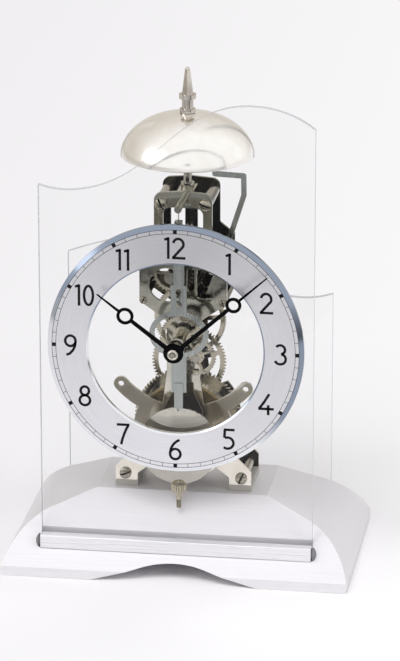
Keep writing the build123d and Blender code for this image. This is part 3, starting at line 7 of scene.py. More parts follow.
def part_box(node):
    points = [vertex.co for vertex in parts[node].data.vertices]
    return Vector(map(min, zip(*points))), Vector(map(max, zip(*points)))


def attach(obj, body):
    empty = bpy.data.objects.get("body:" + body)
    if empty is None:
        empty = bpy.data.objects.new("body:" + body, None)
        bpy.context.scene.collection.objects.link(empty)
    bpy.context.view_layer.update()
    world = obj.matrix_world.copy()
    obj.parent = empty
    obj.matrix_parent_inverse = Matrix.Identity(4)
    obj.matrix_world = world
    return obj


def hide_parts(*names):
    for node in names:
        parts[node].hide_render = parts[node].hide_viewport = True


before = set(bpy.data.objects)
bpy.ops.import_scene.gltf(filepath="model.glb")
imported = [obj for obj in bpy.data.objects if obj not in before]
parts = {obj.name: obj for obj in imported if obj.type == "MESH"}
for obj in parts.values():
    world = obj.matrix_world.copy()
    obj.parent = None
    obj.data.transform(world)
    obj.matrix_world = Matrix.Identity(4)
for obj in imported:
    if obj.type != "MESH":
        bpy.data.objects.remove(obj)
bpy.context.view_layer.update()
mm = 0.001

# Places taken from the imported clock, in millimetres
dial_low, dial_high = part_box("dial_ring")
dial_x, dial_z = (dial_low.x + dial_high.x) / 2 / mm, (dial_low.z + dial_high.z) / 2 / mm
dial_face = dial_low.y / mm
front_plate_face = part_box("front_plate")[0].y / mm
back_plate_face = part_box("back_plate")[1].y / mm


def srgb(code):
    """Linear colour from a hex code as it is seen on the screen."""
    channels = [int(code[i:i + 2], 16) / 255 for i in (1, 3, 5)]
    return (*[c / 12.92 if c <= 0.04045 else ((c + 0.055) / 1.055) ** 2.4 for c in channels], 1.0)


def add(tree, kind, links=None, **settings):
    """Adds a node: settings are its properties, links its sockets' values or the sockets that feed them."""
    made = tree.nodes.new(kind)
    for key, value in settings.items():
        setattr(made, key, value)
    for key, value in (links or {}).items():
        if isinstance(value, bpy.types.NodeSocket):
            tree.links.new(value, made.inputs[key])
        else:
            made.inputs[key].default_value = value
    return made


def start_material(name):
    """Empty material, its nodes and the place on the piece in millimetres, which sizes every pattern."""
    material = bpy.data.materials.new(name)
    material.use_nodes = True
    tree = material.node_tree
    tree.nodes.clear()
    place = add(tree, "ShaderNodeTexCoord").outputs["Object"]
    position = add(tree, "ShaderNodeVectorMath", {0: place, "Scale": 1 / mm}, operation="SCALE").outputs[0]
    return material, tree, position


# Sizes of patterns are in millimetres, and most of a noise lies in this span
grain_span = {"From Min": 0.3, "From Max": 0.7}


# Base
def base_lacquer():
    # Fibreboard sprayed with satin silver lacquer and rubbed down along its length gives a soft sheen with
    # long faint streaks. Real rub marks are finer than a pixel, so they are drawn wider to show.
    fleck_size, rub_length, rub_width, peel_size, peel_depth = 0.111, 50.0, 0.714, 1.11, 0.02
    material, tree, position = start_material("fibreboard_sprayed_satin_silver")
    fleck = add(tree, "ShaderNodeTexNoise", {
        "Vector": position, "Scale": 1 / fleck_size, "Detail": 2.0, "Roughness": 0.6,
    }).outputs["Fac"]
    along = add(tree, "ShaderNodeVectorMath", {
        0: position, 1: (rub_length, rub_width, rub_width),
    }, operation="DIVIDE").outputs[0]
    rubbed = add(tree, "ShaderNodeTexNoise", {
        "Vector": along, "Scale": 1.0, "Detail": 4.0, "Roughness": 0.6,
    }).outputs["Fac"]
    streaks = add(tree, "ShaderNodeMath", {0: fleck, 1: rubbed}, operation="ADD").outputs[0]
    tone = add(tree, "ShaderNodeMapRange", {
        "Value": streaks, "From Min": 0.7, "From Max": 1.3,
    }).outputs["Result"]
    colour = add(tree, "ShaderNodeMix", {
        0: tone, 6: srgb("#DAD8DC"), 7: srgb("#E5E3E7"),
    }, data_type="RGBA").outputs[2]
    satin = add(tree, "ShaderNodeMapRange", {
        **grain_span, "Value": rubbed, "To Min": 0.36, "To Max": 0.5,
    }).outputs["Result"]
    peel = add(tree, "ShaderNodeTexNoise", {
        "Vector": position, "Scale": 1 / peel_size, "Detail": 2.0, "Roughness": 0.5,
    }).outputs["Fac"]
    sprayed = add(tree, "ShaderNodeBump", {
        "Height": peel, "Distance": peel_depth * mm, "Strength": 0.25,
    }).outputs["Normal"]
    lacquer = add(tree, "ShaderNodeBsdfPrincipled", {
        "Base Color": colour, "Metallic": 0.2, "Roughness": satin, "Normal": sprayed,
        "Coat Weight": 0.2, "Coat Roughness": 0.25,
    }).outputs["BSDF"]
    add(tree, "ShaderNodeOutputMaterial", {"Surface": lacquer})
    return material


# Panes
def pane_glass():
    # Float glass with ground and polished edges is clear through the face, with a sheen at a slant and a
    # soft smeared grey along the rim.
    smear_length, smear_width = 6.67, 0.5
    material, tree, position = start_material("float_glass_polished_rim")
    normal = add(tree, "ShaderNodeNewGeometry").outputs["True Normal"]
    depth = add(tree, "ShaderNodeSeparateXYZ", {0: normal}).outputs["Y"]
    flat = add(tree, "ShaderNodeMath", {0: depth}, operation="ABSOLUTE").outputs[0]
    on_face = add(tree, "ShaderNodeMath", {0: flat, 1: 0.9}, operation="GREATER_THAN").outputs[0]
    clear = add(tree, "ShaderNodeBsdfTransparent", {"Color": srgb("#FEFEFE")}).outputs[0]
    gloss = add(tree, "ShaderNodeBsdfGlossy", {"Roughness": 0.0, "Color": srgb("#F4F6F8")}).outputs[0]
    slant = add(tree, "ShaderNodeLayerWeight", {"Blend": 0.5}).outputs["Facing"]
    grazing = add(tree, "ShaderNodeMath", {0: slant, 1: 5.0}, operation="POWER").outputs[0]
    sheen = add(tree, "ShaderNodeMapRange", {
        "Value": grazing, "To Min": 0.015, "To Max": 0.8,
    }).outputs["Result"]
    face = add(tree, "ShaderNodeMixShader", {0: sheen, 1: clear, 2: gloss}).outputs[0]
    along = add(tree, "ShaderNodeVectorMath", {
        0: position, 1: (smear_length, smear_width, smear_length),
    }, operation="DIVIDE").outputs[0]
    smear = add(tree, "ShaderNodeTexNoise", {
        "Vector": along, "Scale": 1.0, "Detail": 3.0, "Roughness": 0.55,
    }).outputs["Fac"]
    rim_colour = add(tree, "ShaderNodeMix", {
        0: smear, 6: srgb("#C0C2C5"), 7: srgb("#D4D6D8"),
    }, data_type="RGBA").outputs[2]
    rim_body = add(tree, "ShaderNodeBsdfPrincipled", {
        "Base Color": rim_colour, "Roughness": 0.3,
    }).outputs["BSDF"]
    rim_clear = add(tree, "ShaderNodeBsdfTransparent", {"Color": srgb("#D5D8DA")}).outputs[0]
    rim = add(tree, "ShaderNodeMixShader", {0: 0.75, 1: rim_clear, 2: rim_body}).outputs[0]
    pane = add(tree, "ShaderNodeMixShader", {0: on_face, 1: rim, 2: face}).outputs[0]
    add(tree, "ShaderNodeOutputMaterial", {"Surface": pane})
    return material


# Bars
def bar_aluminium():
    # Extruded aluminium, satin anodised, is pale and even with faint draw lines along its length. The lines
    # are coarser than the die's so that they show.
    draw_length, draw_width, draw_depth = 50.0, 0.333, 0.01
    material, tree, position = start_material("aluminium_extruded_satin_anodised")
    along = add(tree, "ShaderNodeVectorMath", {
        0: position, 1: (draw_length, draw_width, draw_width),
    }, operation="DIVIDE").outputs[0]
    draw = add(tree, "ShaderNodeTexNoise", {
        "Vector": along, "Scale": 1.0, "Detail": 3.0, "Roughness": 0.55,
    }).outputs["Fac"]
    tone = add(tree, "ShaderNodeMapRange", {**grain_span, "Value": draw}).outputs["Result"]
    colour = add(tree, "ShaderNodeMix", {
        0: tone, 6: srgb("#E2E1E6"), 7: srgb("#F0EFF2"),
    }, data_type="RGBA").outputs[2]
    satin = add(tree, "ShaderNodeMapRange", {
        **grain_span, "Value": draw, "To Min": 0.26, "To Max": 0.38,
    }).outputs["Result"]
    drawn = add(tree, "ShaderNodeBump", {
        "Height": draw, "Distance": draw_depth * mm, "Strength": 0.2,
    }).outputs["Normal"]
    anodised = add(tree, "ShaderNodeBsdfPrincipled", {
        "Base Color": colour, "Metallic": 0.6, "Roughness": satin, "Normal": drawn,
    }).outputs["BSDF"]
    add(tree, "ShaderNodeOutputMaterial", {"Surface": anodised})
    return material


# End caps and foot blocks
def moulded_nylon(name, dark, light):
    # Nylon from a spark-eroded mould is dull grey with a fine grain.
    spark_size, spark_depth = 0.25, 0.03
    material, tree, position = start_material(name)
    spark = add(tree, "ShaderNodeTexNoise", {
        "Vector": position, "Scale": 1 / spark_size, "Detail": 3.0, "Roughness": 0.6,
    }).outputs["Fac"]
    tone = add(tree, "ShaderNodeMapRange", {**grain_span, "Value": spark}).outputs["Result"]
    colour = add(tree, "ShaderNodeMix", {0: tone, 6: srgb(dark), 7: srgb(light)}, data_type="RGBA").outputs[2]
    dullness = add(tree, "ShaderNodeMapRange", {
        **grain_span, "Value": spark, "To Min": 0.42, "To Max": 0.6,
    }).outputs["Result"]
    pitted = add(tree, "ShaderNodeBump", {
        "Height": spark, "Distance": spark_depth * mm, "Strength": 0.3,
    }).outputs["Normal"]
    nylon = add(tree, "ShaderNodeBsdfPrincipled", {
        "Base Color": colour, "Roughness": dullness, "Normal": pitted,
    }).outputs["BSDF"]
    add(tree, "ShaderNodeOutputMaterial", {"Surface": nylon})
    return material


# Dial ring
def dial_aluminium():
    # Aluminium brushed in circles on a turntable has glints that fan out from the centre. The diamond-cut
    # bevels are near mirrors with a painted reflection, slate over the top and right and bright at the lower
    # left. A pale film covers the back. The brush marks are coarser than real ones so that they show; a sweep
    # is in radians.
    brush_pitch, brush_sweep, brush_depth = 0.2, 0.4545, 0.008
    material, tree, position = start_material("aluminium_circular_brushed_dial")
    axes = add(tree, "ShaderNodeSeparateXYZ", {0: position})
    across = add(tree, "ShaderNodeMath", {0: axes.outputs["X"], 1: dial_x}, operation="SUBTRACT").outputs[0]
    up = add(tree, "ShaderNodeMath", {0: axes.outputs["Z"], 1: dial_z}, operation="SUBTRACT").outputs[0]
    arm = add(tree, "ShaderNodeCombineXYZ", {"X": across, "Y": up}).outputs[0]
    radius = add(tree, "ShaderNodeVectorMath", {0: arm}, operation="LENGTH").outputs["Value"]
    turn = add(tree, "ShaderNodeMath", {0: up, 1: across}, operation="ARCTAN2").outputs[0]
    swept = add(tree, "ShaderNodeCombineXYZ", {"X": radius, "Y": turn}).outputs[0]
    rings = add(tree, "ShaderNodeVectorMath", {
        0: swept, 1: (brush_pitch, brush_sweep, 1.0),
    }, operation="DIVIDE").outputs[0]
    brush = add(tree, "ShaderNodeTexNoise", {
        "Vector": rings, "Scale": 1.0, "Detail": 4.0, "Roughness": 0.65,
    }).outputs["Fac"]
    tone = add(tree, "ShaderNodeMapRange", {**grain_span, "Value": brush}).outputs["Result"]
    colour = add(tree, "ShaderNodeMix", {
        0: tone, 6: srgb("#E2E2E8"), 7: srgb("#F2F2F5"),
    }, data_type="RGBA").outputs[2]
    satin = add(tree, "ShaderNodeMapRange", {
        **grain_span, "Value": brush, "To Min": 0.28, "To Max": 0.36,
    }).outputs["Result"]
    brushed = add(tree, "ShaderNodeBump", {
        "Height": brush, "Distance": brush_depth * mm, "Strength": 0.25,
    }).outputs["Normal"]
    tangent = add(tree, "ShaderNodeTangent", direction_type="RADIAL", axis="Y").outputs[0]
    face = add(tree, "ShaderNodeBsdfPrincipled", {
        "Base Color": colour, "Metallic": 1.0, "Roughness": satin, "Normal": brushed,
        "Anisotropic": 0.6, "Tangent": tangent,
    }).outputs["BSDF"]
    # Painted reflection: bevels bright at the lower left and slate at the upper right, set by place on the
    # dial
    upper_right = (0.0065, 0.0115, 0.0)
    lean = add(tree, "ShaderNodeVectorMath", {
        0: arm, 1: upper_right,
    }, operation="DOT_PRODUCT").outputs["Value"]
    shade = add(tree, "ShaderNodeMapRange", {
        "Value": lean, "From Min": -0.35, "From Max": -0.05,
    }).outputs["Result"]
    painted_reflection_slate = add(tree, "ShaderNodeMix", {
        0: shade, 6: srgb("#E6E8EC"), 7: srgb("#8A94A4"),
    }, data_type="RGBA").outputs[2]
    bevel = add(tree, "ShaderNodeBsdfPrincipled", {
        "Base Color": painted_reflection_slate, "Metallic": 1.0, "Roughness": 0.12,
    }).outputs["BSDF"]
    film_colour = add(tree, "ShaderNodeMix", {
        0: tone, 6: srgb("#DAD6CE"), 7: srgb("#E6E3DC"),
    }, data_type="RGBA").outputs[2]
    film = add(tree, "ShaderNodeBsdfDiffuse", {"Color": film_colour}).outputs[0]
    normal = add(tree, "ShaderNodeNewGeometry").outputs["True Normal"]
    facing = add(tree, "ShaderNodeSeparateXYZ", {0: normal}).outputs["Y"]
    flat = add(tree, "ShaderNodeMath", {0: facing, 1: -0.99}, operation="LESS_THAN").outputs[0]
    behind = add(tree, "ShaderNodeMath", {0: facing, 1: 0.99}, operation="GREATER_THAN").outputs[0]
    front = add(tree, "ShaderNodeMixShader", {0: flat, 1: bevel, 2: face}).outputs[0]
    ring = add(tree, "ShaderNodeMixShader", {0: behind, 1: front, 2: film}).outputs[0]
    add(tree, "ShaderNodeOutputMaterial", {"Surface": ring})
    return material


# Plates of the movement and the bell bridge
def plate_nickel(name, inner_side):
    # Pressed brass, nickel plated over a straight brush, is warm grey with fine lines. The press rolled its
    # edges over, so they catch a line of light. The legs are painted lighter than the head as painted light
    # and shade, and the inner side is painted dark as shade.
    brush_length, brush_width, brush_pitch, brush_depth = 6.67, 0.25, 0.2, 0.01
    cloud_size, cloud_depth, rolled_edge = 12.5, 0.12, 0.4
    legs_top, head_bottom = 75.0, 135.0
    material, tree, position = start_material(name)
    along = add(tree, "ShaderNodeVectorMath", {
        0: position, 1: (brush_length, brush_width, brush_pitch),
    }, operation="DIVIDE").outputs[0]
    brush = add(tree, "ShaderNodeTexNoise", {
        "Vector": along, "Scale": 1.0, "Detail": 4.0, "Roughness": 0.6,
    }).outputs["Fac"]
    cloud = add(tree, "ShaderNodeTexNoise", {
        "Vector": position, "Scale": 1 / cloud_size, "Detail": 2.0, "Roughness": 0.5,
    }).outputs["Fac"]
    rolled = add(tree, "ShaderNodeBevel", {"Radius": rolled_edge * mm}, samples=4).outputs["Normal"]
    sag = add(tree, "ShaderNodeBump", {
        "Height": cloud, "Distance": cloud_depth * mm, "Strength": 0.5, "Normal": rolled,
    }).outputs["Normal"]
    lines = add(tree, "ShaderNodeBump", {
        "Height": brush, "Distance": brush_depth * mm, "Strength": 0.15, "Normal": sag,
    }).outputs["Normal"]
    tone = add(tree, "ShaderNodeMapRange", {**grain_span, "Value": cloud}).outputs["Result"]
    # Painted light and shade: light legs, a darker head and a near-black inner side, mixed by height and side
    legs, head, inner = [
        add(tree, "ShaderNodeMix", {0: tone, 6: srgb(dark), 7: srgb(light)}, data_type="RGBA").outputs[2]
        for dark, light in (("#E2DCD0", "#F0EBE2"), ("#A5A498", "#BDBBAF"), ("#2C2922", "#474338"))
    ]
    height = add(tree, "ShaderNodeSeparateXYZ", {0: position}).outputs["Z"]
    up = add(tree, "ShaderNodeMapRange", {
        "Value": height, "From Min": legs_top, "From Max": head_bottom,
    }).outputs["Result"]
    painted_light_by_height = add(tree, "ShaderNodeMix", {0: up, 6: legs, 7: head}, data_type="RGBA").outputs[2]
    normal = add(tree, "ShaderNodeNewGeometry").outputs["True Normal"]
    inwards = add(tree, "ShaderNodeVectorMath", {
        0: normal, 1: (0.0, inner_side, 0.0),
    }, operation="DOT_PRODUCT").outputs["Value"]
    # Painted shade on the side that faces into the movement
    painted_shade_side = add(tree, "ShaderNodeMath", {0: inwards, 1: 0.7}, operation="GREATER_THAN").outputs[0]
    colour = add(tree, "ShaderNodeMix", {0: painted_shade_side, 6: painted_light_by_height, 7: inner}, data_type="RGBA").outputs[2]
    shine = add(tree, "ShaderNodeMapRange", {
        **grain_span, "Value": brush, "To Min": 0.07, "To Max": 0.16,
    }).outputs["Result"]
    nickel = add(tree, "ShaderNodeBsdfPrincipled", {
        "Base Color": colour, "Metallic": 1.0, "Roughness": shine, "Normal": lines,
    }).outputs["BSDF"]
    add(tree, "ShaderNodeOutputMaterial", {"Surface": nickel})
    return material


# Wheels, arbors, screws and bob
def turned_metal(name, dark, light, glossy, dull):
    # Turned brass or steel has the lathe's lines under its finish, and edges broken so that they glint. The
    # lines are coarser than a fine cut so that they show.
    line_pitch, line_length, line_depth, broken_edge = 0.333, 2.5, 0.008, 0.2
    material, tree, position = start_material(name)
    along = add(tree, "ShaderNodeVectorMath", {
        0: position, 1: (line_pitch, line_length, line_pitch),
    }, operation="DIVIDE").outputs[0]
    lines = add(tree, "ShaderNodeTexNoise", {
        "Vector": along, "Scale": 1.0, "Detail": 3.0, "Roughness": 0.6,
    }).outputs["Fac"]
    tone = add(tree, "ShaderNodeMapRange", {**grain_span, "Value": lines}).outputs["Result"]
    colour = add(tree, "ShaderNodeMix", {0: tone, 6: srgb(dark), 7: srgb(light)}, data_type="RGBA").outputs[2]
    shine = add(tree, "ShaderNodeMapRange", {
        **grain_span, "Value": lines, "To Min": glossy, "To Max": dull,
    }).outputs["Result"]
    broken = add(tree, "ShaderNodeBevel", {"Radius": broken_edge * mm}, samples=4).outputs["Normal"]
    ridges = add(tree, "ShaderNodeBump", {
        "Height": lines, "Distance": line_depth * mm, "Strength": 0.15, "Normal": broken,
    }).outputs["Normal"]
    turned = add(tree, "ShaderNodeBsdfPrincipled", {
        "Base Color": colour, "Metallic": 1.0, "Roughness": shine, "Normal": ridges,
    }).outputs["BSDF"]
    add(tree, "ShaderNodeOutputMaterial", {"Surface": turned})
    return material


# Pendulum rod, springs, levers and other strip
def strip_steel():
    # Rolled steel ground along its length is cool grey with long faint streaks, coarser than the grit's own
    # so that they show.
    streak_width, streak_length, streak_depth = 1.11, 33.3, 0.01
    material, tree, position = start_material("steel_strip_ground")
    along = add(tree, "ShaderNodeVectorMath", {
        0: position, 1: (streak_width, streak_width, streak_length),
    }, operation="DIVIDE").outputs[0]
    streak = add(tree, "ShaderNodeTexNoise", {
        "Vector": along, "Scale": 1.0, "Detail": 3.0, "Roughness": 0.5,
    }).outputs["Fac"]
    tone = add(tree, "ShaderNodeMapRange", {**grain_span, "Value": streak}).outputs["Result"]
    colour = add(tree, "ShaderNodeMix", {
        0: tone, 6: srgb("#A6ABA8"), 7: srgb("#B4B9B5"),
    }, data_type="RGBA").outputs[2]
    satin = add(tree, "ShaderNodeMapRange", {
        **grain_span, "Value": streak, "To Min": 0.2, "To Max": 0.28,
    }).outputs["Result"]
    ground = add(tree, "ShaderNodeBump", {
        "Height": streak, "Distance": streak_depth * mm, "Strength": 0.1,
    }).outputs["Normal"]
    steel = add(tree, "ShaderNodeBsdfPrincipled", {
        "Base Color": colour, "Metallic": 1.0, "Roughness": satin, "Normal": ground,
    }).outputs["BSDF"]
    add(tree, "ShaderNodeOutputMaterial", {"Surface": steel})
    return material


# Bell, finial and hand nut
def bright_nickel(name, dark, light, glossy, dull):
    # Brass, buffed and bright nickel plated, is a near mirror with a faint warm cast and a little haze. The
    # spinning lines are coarser than the tool's so that they show.
    haze_size, spin_length, spin_pitch, spin_depth = 8.33, 20.0, 0.333, 0.004
    material, tree, position = start_material(name)
    haze = add(tree, "ShaderNodeTexNoise", {
        "Vector": position, "Scale": 1 / haze_size, "Detail": 3.0, "Roughness": 0.5,
    }).outputs["Fac"]
    around = add(tree, "ShaderNodeVectorMath", {
        0: position, 1: (spin_length, spin_length, spin_pitch),
    }, operation="DIVIDE").outputs[0]
    spin = add(tree, "ShaderNodeTexNoise", {
        "Vector": around, "Scale": 1.0, "Detail": 2.0, "Roughness": 0.5,
    }).outputs["Fac"]
    tone = add(tree, "ShaderNodeMapRange", {**grain_span, "Value": haze}).outputs["Result"]
    colour = add(tree, "ShaderNodeMix", {0: tone, 6: srgb(dark), 7: srgb(light)}, data_type="RGBA").outputs[2]
    shine = add(tree, "ShaderNodeMapRange", {
        **grain_span, "Value": haze, "To Min": glossy, "To Max": dull,
    }).outputs["Result"]
    spun = add(tree, "ShaderNodeBump", {
        "Height": spin, "Distance": spin_depth * mm, "Strength": 0.08,
    }).outputs["Normal"]
    nickel = add(tree, "ShaderNodeBsdfPrincipled", {
        "Base Color": colour, "Metallic": 1.0, "Roughness": shine, "Normal": spun,
    }).outputs["BSDF"]
    add(tree, "ShaderNodeOutputMaterial", {"Surface": nickel})
    return material


# Hands
def hand_lacquer():
    # Stamped steel under black lacquer is deep black, slightly wavy where the lacquer flowed.
    flow_size, flow_depth = 1.43, 0.02
    material, tree, position = start_material("steel_stamped_black_lacquer")
    flow = add(tree, "ShaderNodeTexNoise", {
        "Vector": position, "Scale": 1 / flow_size, "Detail": 2.0, "Roughness": 0.5,
    }).outputs["Fac"]
    tone = add(tree, "ShaderNodeMapRange", {**grain_span, "Value": flow}).outputs["Result"]
    colour = add(tree, "ShaderNodeMix", {
        0: tone, 6: srgb("#050506"), 7: srgb("#0C0C0E"),
    }, data_type="RGBA").outputs[2]
    satin = add(tree, "ShaderNodeMapRange", {
        **grain_span, "Value": flow, "To Min": 0.5, "To Max": 0.62,
    }).outputs["Result"]
    waves = add(tree, "ShaderNodeBump", {
        "Height": flow, "Distance": flow_depth * mm, "Strength": 0.15,
    }).outputs["Normal"]
    lacquer = add(tree, "ShaderNodeBsdfPrincipled", {
        "Base Color": colour, "Roughness": satin, "Specular IOR Level": 0.04, "Normal": waves,
    }).outputs["BSDF"]
    add(tree, "ShaderNodeOutputMaterial", {"Surface": lacquer})
    return material


# Print on the dial
def dial_ink():
    # Pad-printed black ink is matt, with a little unevenness in its cover.
    cover_size = 0.333
    material, tree, position = start_material("pad_printed_black_ink")
    cover = add(tree, "ShaderNodeTexNoise", {
        "Vector": position, "Scale": 1 / cover_size, "Detail": 3.0, "Roughness": 0.6,
    }).outputs["Fac"]
    tone = add(tree, "ShaderNodeMapRange", {**grain_span, "Value": cover}).outputs["Result"]
    colour = add(tree, "ShaderNodeMix", {
        0: tone, 6: srgb("#060607"), 7: srgb("#101012"),
    }, data_type="RGBA").outputs[2]
    matt = add(tree, "ShaderNodeMapRange", {
        **grain_span, "Value": cover, "To Min": 0.6, "To Max": 0.8,
    }).outputs["Result"]
    ink = add(tree, "ShaderNodeBsdfPrincipled", {
        "Base Color": colour, "Roughness": matt, "Specular IOR Level": 0.25,
    }).outputs["BSDF"]
    add(tree, "ShaderNodeOutputMaterial", {"Surface": ink})
    return material


# Golden brown under a smoky lacquer
drawn_brass = turned_metal("brass_drawn_smoked_lacquer", "#54482F", "#94835A", 0.08, 0.15)
# Warm grey shine over the turning lines
wheel_nickel = turned_metal("brass_turned_nickel_plated", "#9A9484", "#C2BCAC", 0.08, 0.16)
# Small sharp glints
screw_steel = turned_metal("steel_screw_polished", "#8E897B", "#B0AB9D", 0.07, 0.13)
# Nearly black, painted as shade in the driver slots
slot_painted_shade = turned_metal("steel_screw_slot_painted_shade", "#1D1B17", "#302D27", 0.4, 0.55)
# Pale straw, dulled by handling
nut_brass = turned_metal("brass_knurled_dull_nickel", "#A79F88", "#CFC8B4", 0.1, 0.18)
# Pale mirror, a little soft
bell_nickel = bright_nickel("brass_spun_buffed_bright_nickel", "#F2EFEA", "#FAF8F4", 0.15, 0.21)
# Painted shade: bright nickel painted darker than the bell's, and a sharper mirror
bright_nickel_painted_darker = bright_nickel("brass_turned_bright_nickel_painted_darker", "#B4ADA4", "#D6D0C8", 0.03, 0.07)
print_ink = dial_ink()

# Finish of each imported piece
finishes = {
    base_lacquer(): ["base_block"],
    pane_glass(): ["front_glass", "rear_glass"],
    bar_aluminium(): ["front_bar", "rear_bar"],
    moulded_nylon("nylon_moulded_satin_grey", "#6E6E70", "#808082"): ["bar_end_caps"],
    moulded_nylon("nylon_moulded_light_grey", "#A8A49C", "#B8B4AC"): ["foot_blocks"],
    dial_aluminium(): ["dial_ring"],
    plate_nickel("brass_pressed_nickel_front", 1.0): ["front_plate"],
    plate_nickel("brass_pressed_nickel_back", -1.0): ["back_plate", "bell_bridge"],
    drawn_brass: ["barrel_cover"],
    wheel_nickel: [
        "barrel", "second_wheel", "centre_wheel", "third_wheel", "escape_wheel", "lifting_cam",
        "cannon_pinion", "hour_wheel", "minute_wheel", "ratchet_wheel", "hammer_head",
    ],
    turned_metal("steel_turned_bright", "#8F8B80", "#B4B0A6", 0.1, 0.18): [
        "winding_arbor", "second_arbor", "centre_arbor", "third_arbor", "escape_arbor", "verge_arbor",
        "hammer_arbor", "foot_pillars", "mid_pillars", "top_pillars", "base_screws", "minute_stud",
        "suspension_stud", "bell_post", "click_screw",
    ],
    turned_metal("brass_bob_buffed_nickel", "#A39F96", "#CBC7BF", 0.05, 0.1): ["bob"],
    strip_steel(): [
        "anchor", "crutch", "click", "suspension_spring", "pendulum_rod", "bob_hanger", "hammer_arm",
        "mainspring",
    ],
    bell_nickel: ["bell", "glass_bush"],
    bright_nickel_painted_darker: ["finial", "hand_nut"],
    hand_lacquer(): ["hour_hand", "minute_hand"],
}
for finish, names in finishes.items():
    for name in names:
        mesh = parts[name].data
        mesh.materials.clear()
        mesh.materials.append(finish)


def finished_mesh(name, build):
    """Mesh of a finished build, with its faces turned outwards."""
    bmesh.ops.recalc_face_normals(build, faces=build.faces)
    mesh = bpy.data.meshes.new(name)
    build.to_mesh(mesh)
    build.free()
    return mesh


def fit_piece(name, mesh, body, node=None, place=None, crease=None):
    """Fits a mesh to the clock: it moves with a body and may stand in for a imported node.

    crease is the angle in degrees up to which its faces are shaded smooth."""
    made = bpy.data.objects.new(name, mesh)
    bpy.context.scene.collection.objects.link(made)
    if place:
        made.matrix_world = place
    if crease:
        mesh.shade_smooth()
        mesh.set_sharp_from_angle(angle=radians(crease))
    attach(made, body)
    if node:
        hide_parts(node)


# Dial print: a film of ink on the brushed face
ink_rise, ink_root = 0.03, 0.005
ink_front, ink_back = (dial_face - ink_rise) * mm, (dial_face - ink_root) * mm
numeral_height, numeral_stroke, numeral_radius = 13.2, 1.58, 62.6
# Pitches of figures are shares of their height, and the 5 stands a little to the right
numeral_pitch, narrow_pitch = 0.62, {"1": 0.37}
numeral_nudge = {5: 1.0}
track_inner, track_outer, track_line, track_steps = 71.4, 73.7, 0.28, 180
hour_square = 2.3


def ink_ribbon(build, line, width, closed=False):
    """Flat stroke of even width along a line of (x, z) points."""
    count = len(line)
    rails = []
    for i, (x, z) in enumerate(line):
        before = line[i - 1] if i or closed else line[i]
        after = line[(i + 1) % count] if i + 1 < count or closed else line[i]
        dx, dz = after[0] - before[0], after[1] - before[1]
        length = (dx * dx + dz * dz) ** 0.5 or 1.0
        side_x, side_z = -dz / length * width / 2, dx / length * width / 2
        sides = [(x + side_x, z + side_z), (x - side_x, z - side_z)]
        rails.append([build.verts.new((a * mm, y, b * mm)) for y in (ink_front, ink_back) for a, b in sides])
    followers = rails[1:] + rails[:1] if closed else rails[1:]
    for first, second in zip(rails, followers):
        for a, b in ((0, 1), (1, 3), (3, 2), (2, 0)):
            build.faces.new((first[a], first[b], second[b], second[a]))
    if not closed:
        for rail, order in ((rails[0], (0, 2, 3, 1)), (rails[-1], (0, 1, 3, 2))):
            build.faces.new([rail[i] for i in order])


def bow(x, z, width, height, start, end, steps=20):
    """Points of a round stroke of a figure, from one angle to another."""
    turns = [radians(start + (end - start) * i / steps) for i in range(steps + 1)]
    return [(x + width * cos(t), z + height * sin(t)) for t in turns]


# Strokes of each figure on a unit height
figures = {
    "0": [bow(0.26, 0.5, 0.20, 0.445, 0, 360, 40)],
    "1": [[(0.2, 0.0), (0.2, 1.0)], [(0.22, 0.955), (0.02, 0.885)]],
    "2": [bow(0.28, 0.69, 0.23, 0.255, 168, -25) + [(0.04, 0.06)], [(0.0, 0.055), (0.6, 0.055)]],
    "3": [bow(0.25, 0.735, 0.215, 0.21, 145, -80), bow(0.25, 0.295, 0.25, 0.24, 78, -158)],
    "4": [
        [(0.5, 1.0), (0.4, 0.84), (0.27, 0.62), (0.14, 0.43), (0.03, 0.29)],
        [(0.0, 0.29), (0.7, 0.29)],
        [(0.45, 0.47), (0.45, 0.0)],
    ],
    "5": [
        [(0.08, 0.945), (0.56, 0.945)],
        [(0.12, 0.97), (0.1, 0.56)],
        bow(0.24, 0.315, 0.27, 0.265, 118, -130),
    ],
    "6": [
        [(0.5, 0.985), (0.38, 0.92), (0.22, 0.77), (0.11, 0.57), (0.065, 0.36)],
        bow(0.3, 0.3, 0.235, 0.245, 0, 360, 40),
    ],
    "7": [
        [(0.0, 0.945), (0.58, 0.945)],
        [(0.54, 0.95), (0.43, 0.74), (0.34, 0.51), (0.25, 0.24), (0.2, 0.0)],
    ],
    "8": [bow(0.28, 0.735, 0.19, 0.205, 0, 360, 36), bow(0.28, 0.285, 0.235, 0.235, 0, 360, 40)],
    "9": [
        bow(0.29, 0.7, 0.235, 0.245, 0, 360, 40),
        [(0.525, 0.68), (0.49, 0.44), (0.4, 0.26), (0.26, 0.1), (0.1, 0.03)],
    ],
}


def numeral_lines(text):
    """Strokes of a whole numeral in millimetres, about its own middle."""
    offset, lines = 0.0, []
    for figure in text:
        lines += [[(x + offset, z) for x, z in line] for line in figures[figure]]
        offset += narrow_pitch.get(figure, numeral_pitch)
    reach = [x for line in lines for x, _ in line]
    middle = (min(reach) + max(reach)) / 2
    return [[((x - middle) * numeral_height, (z - 0.5) * numeral_height) for x, z in line] for line in lines]


def dial_point(radius, turn):
    """Point on the dial at a radius, a turn clockwise from twelve."""
    return dial_x + radius * sin(turn), dial_z + radius * cos(turn)


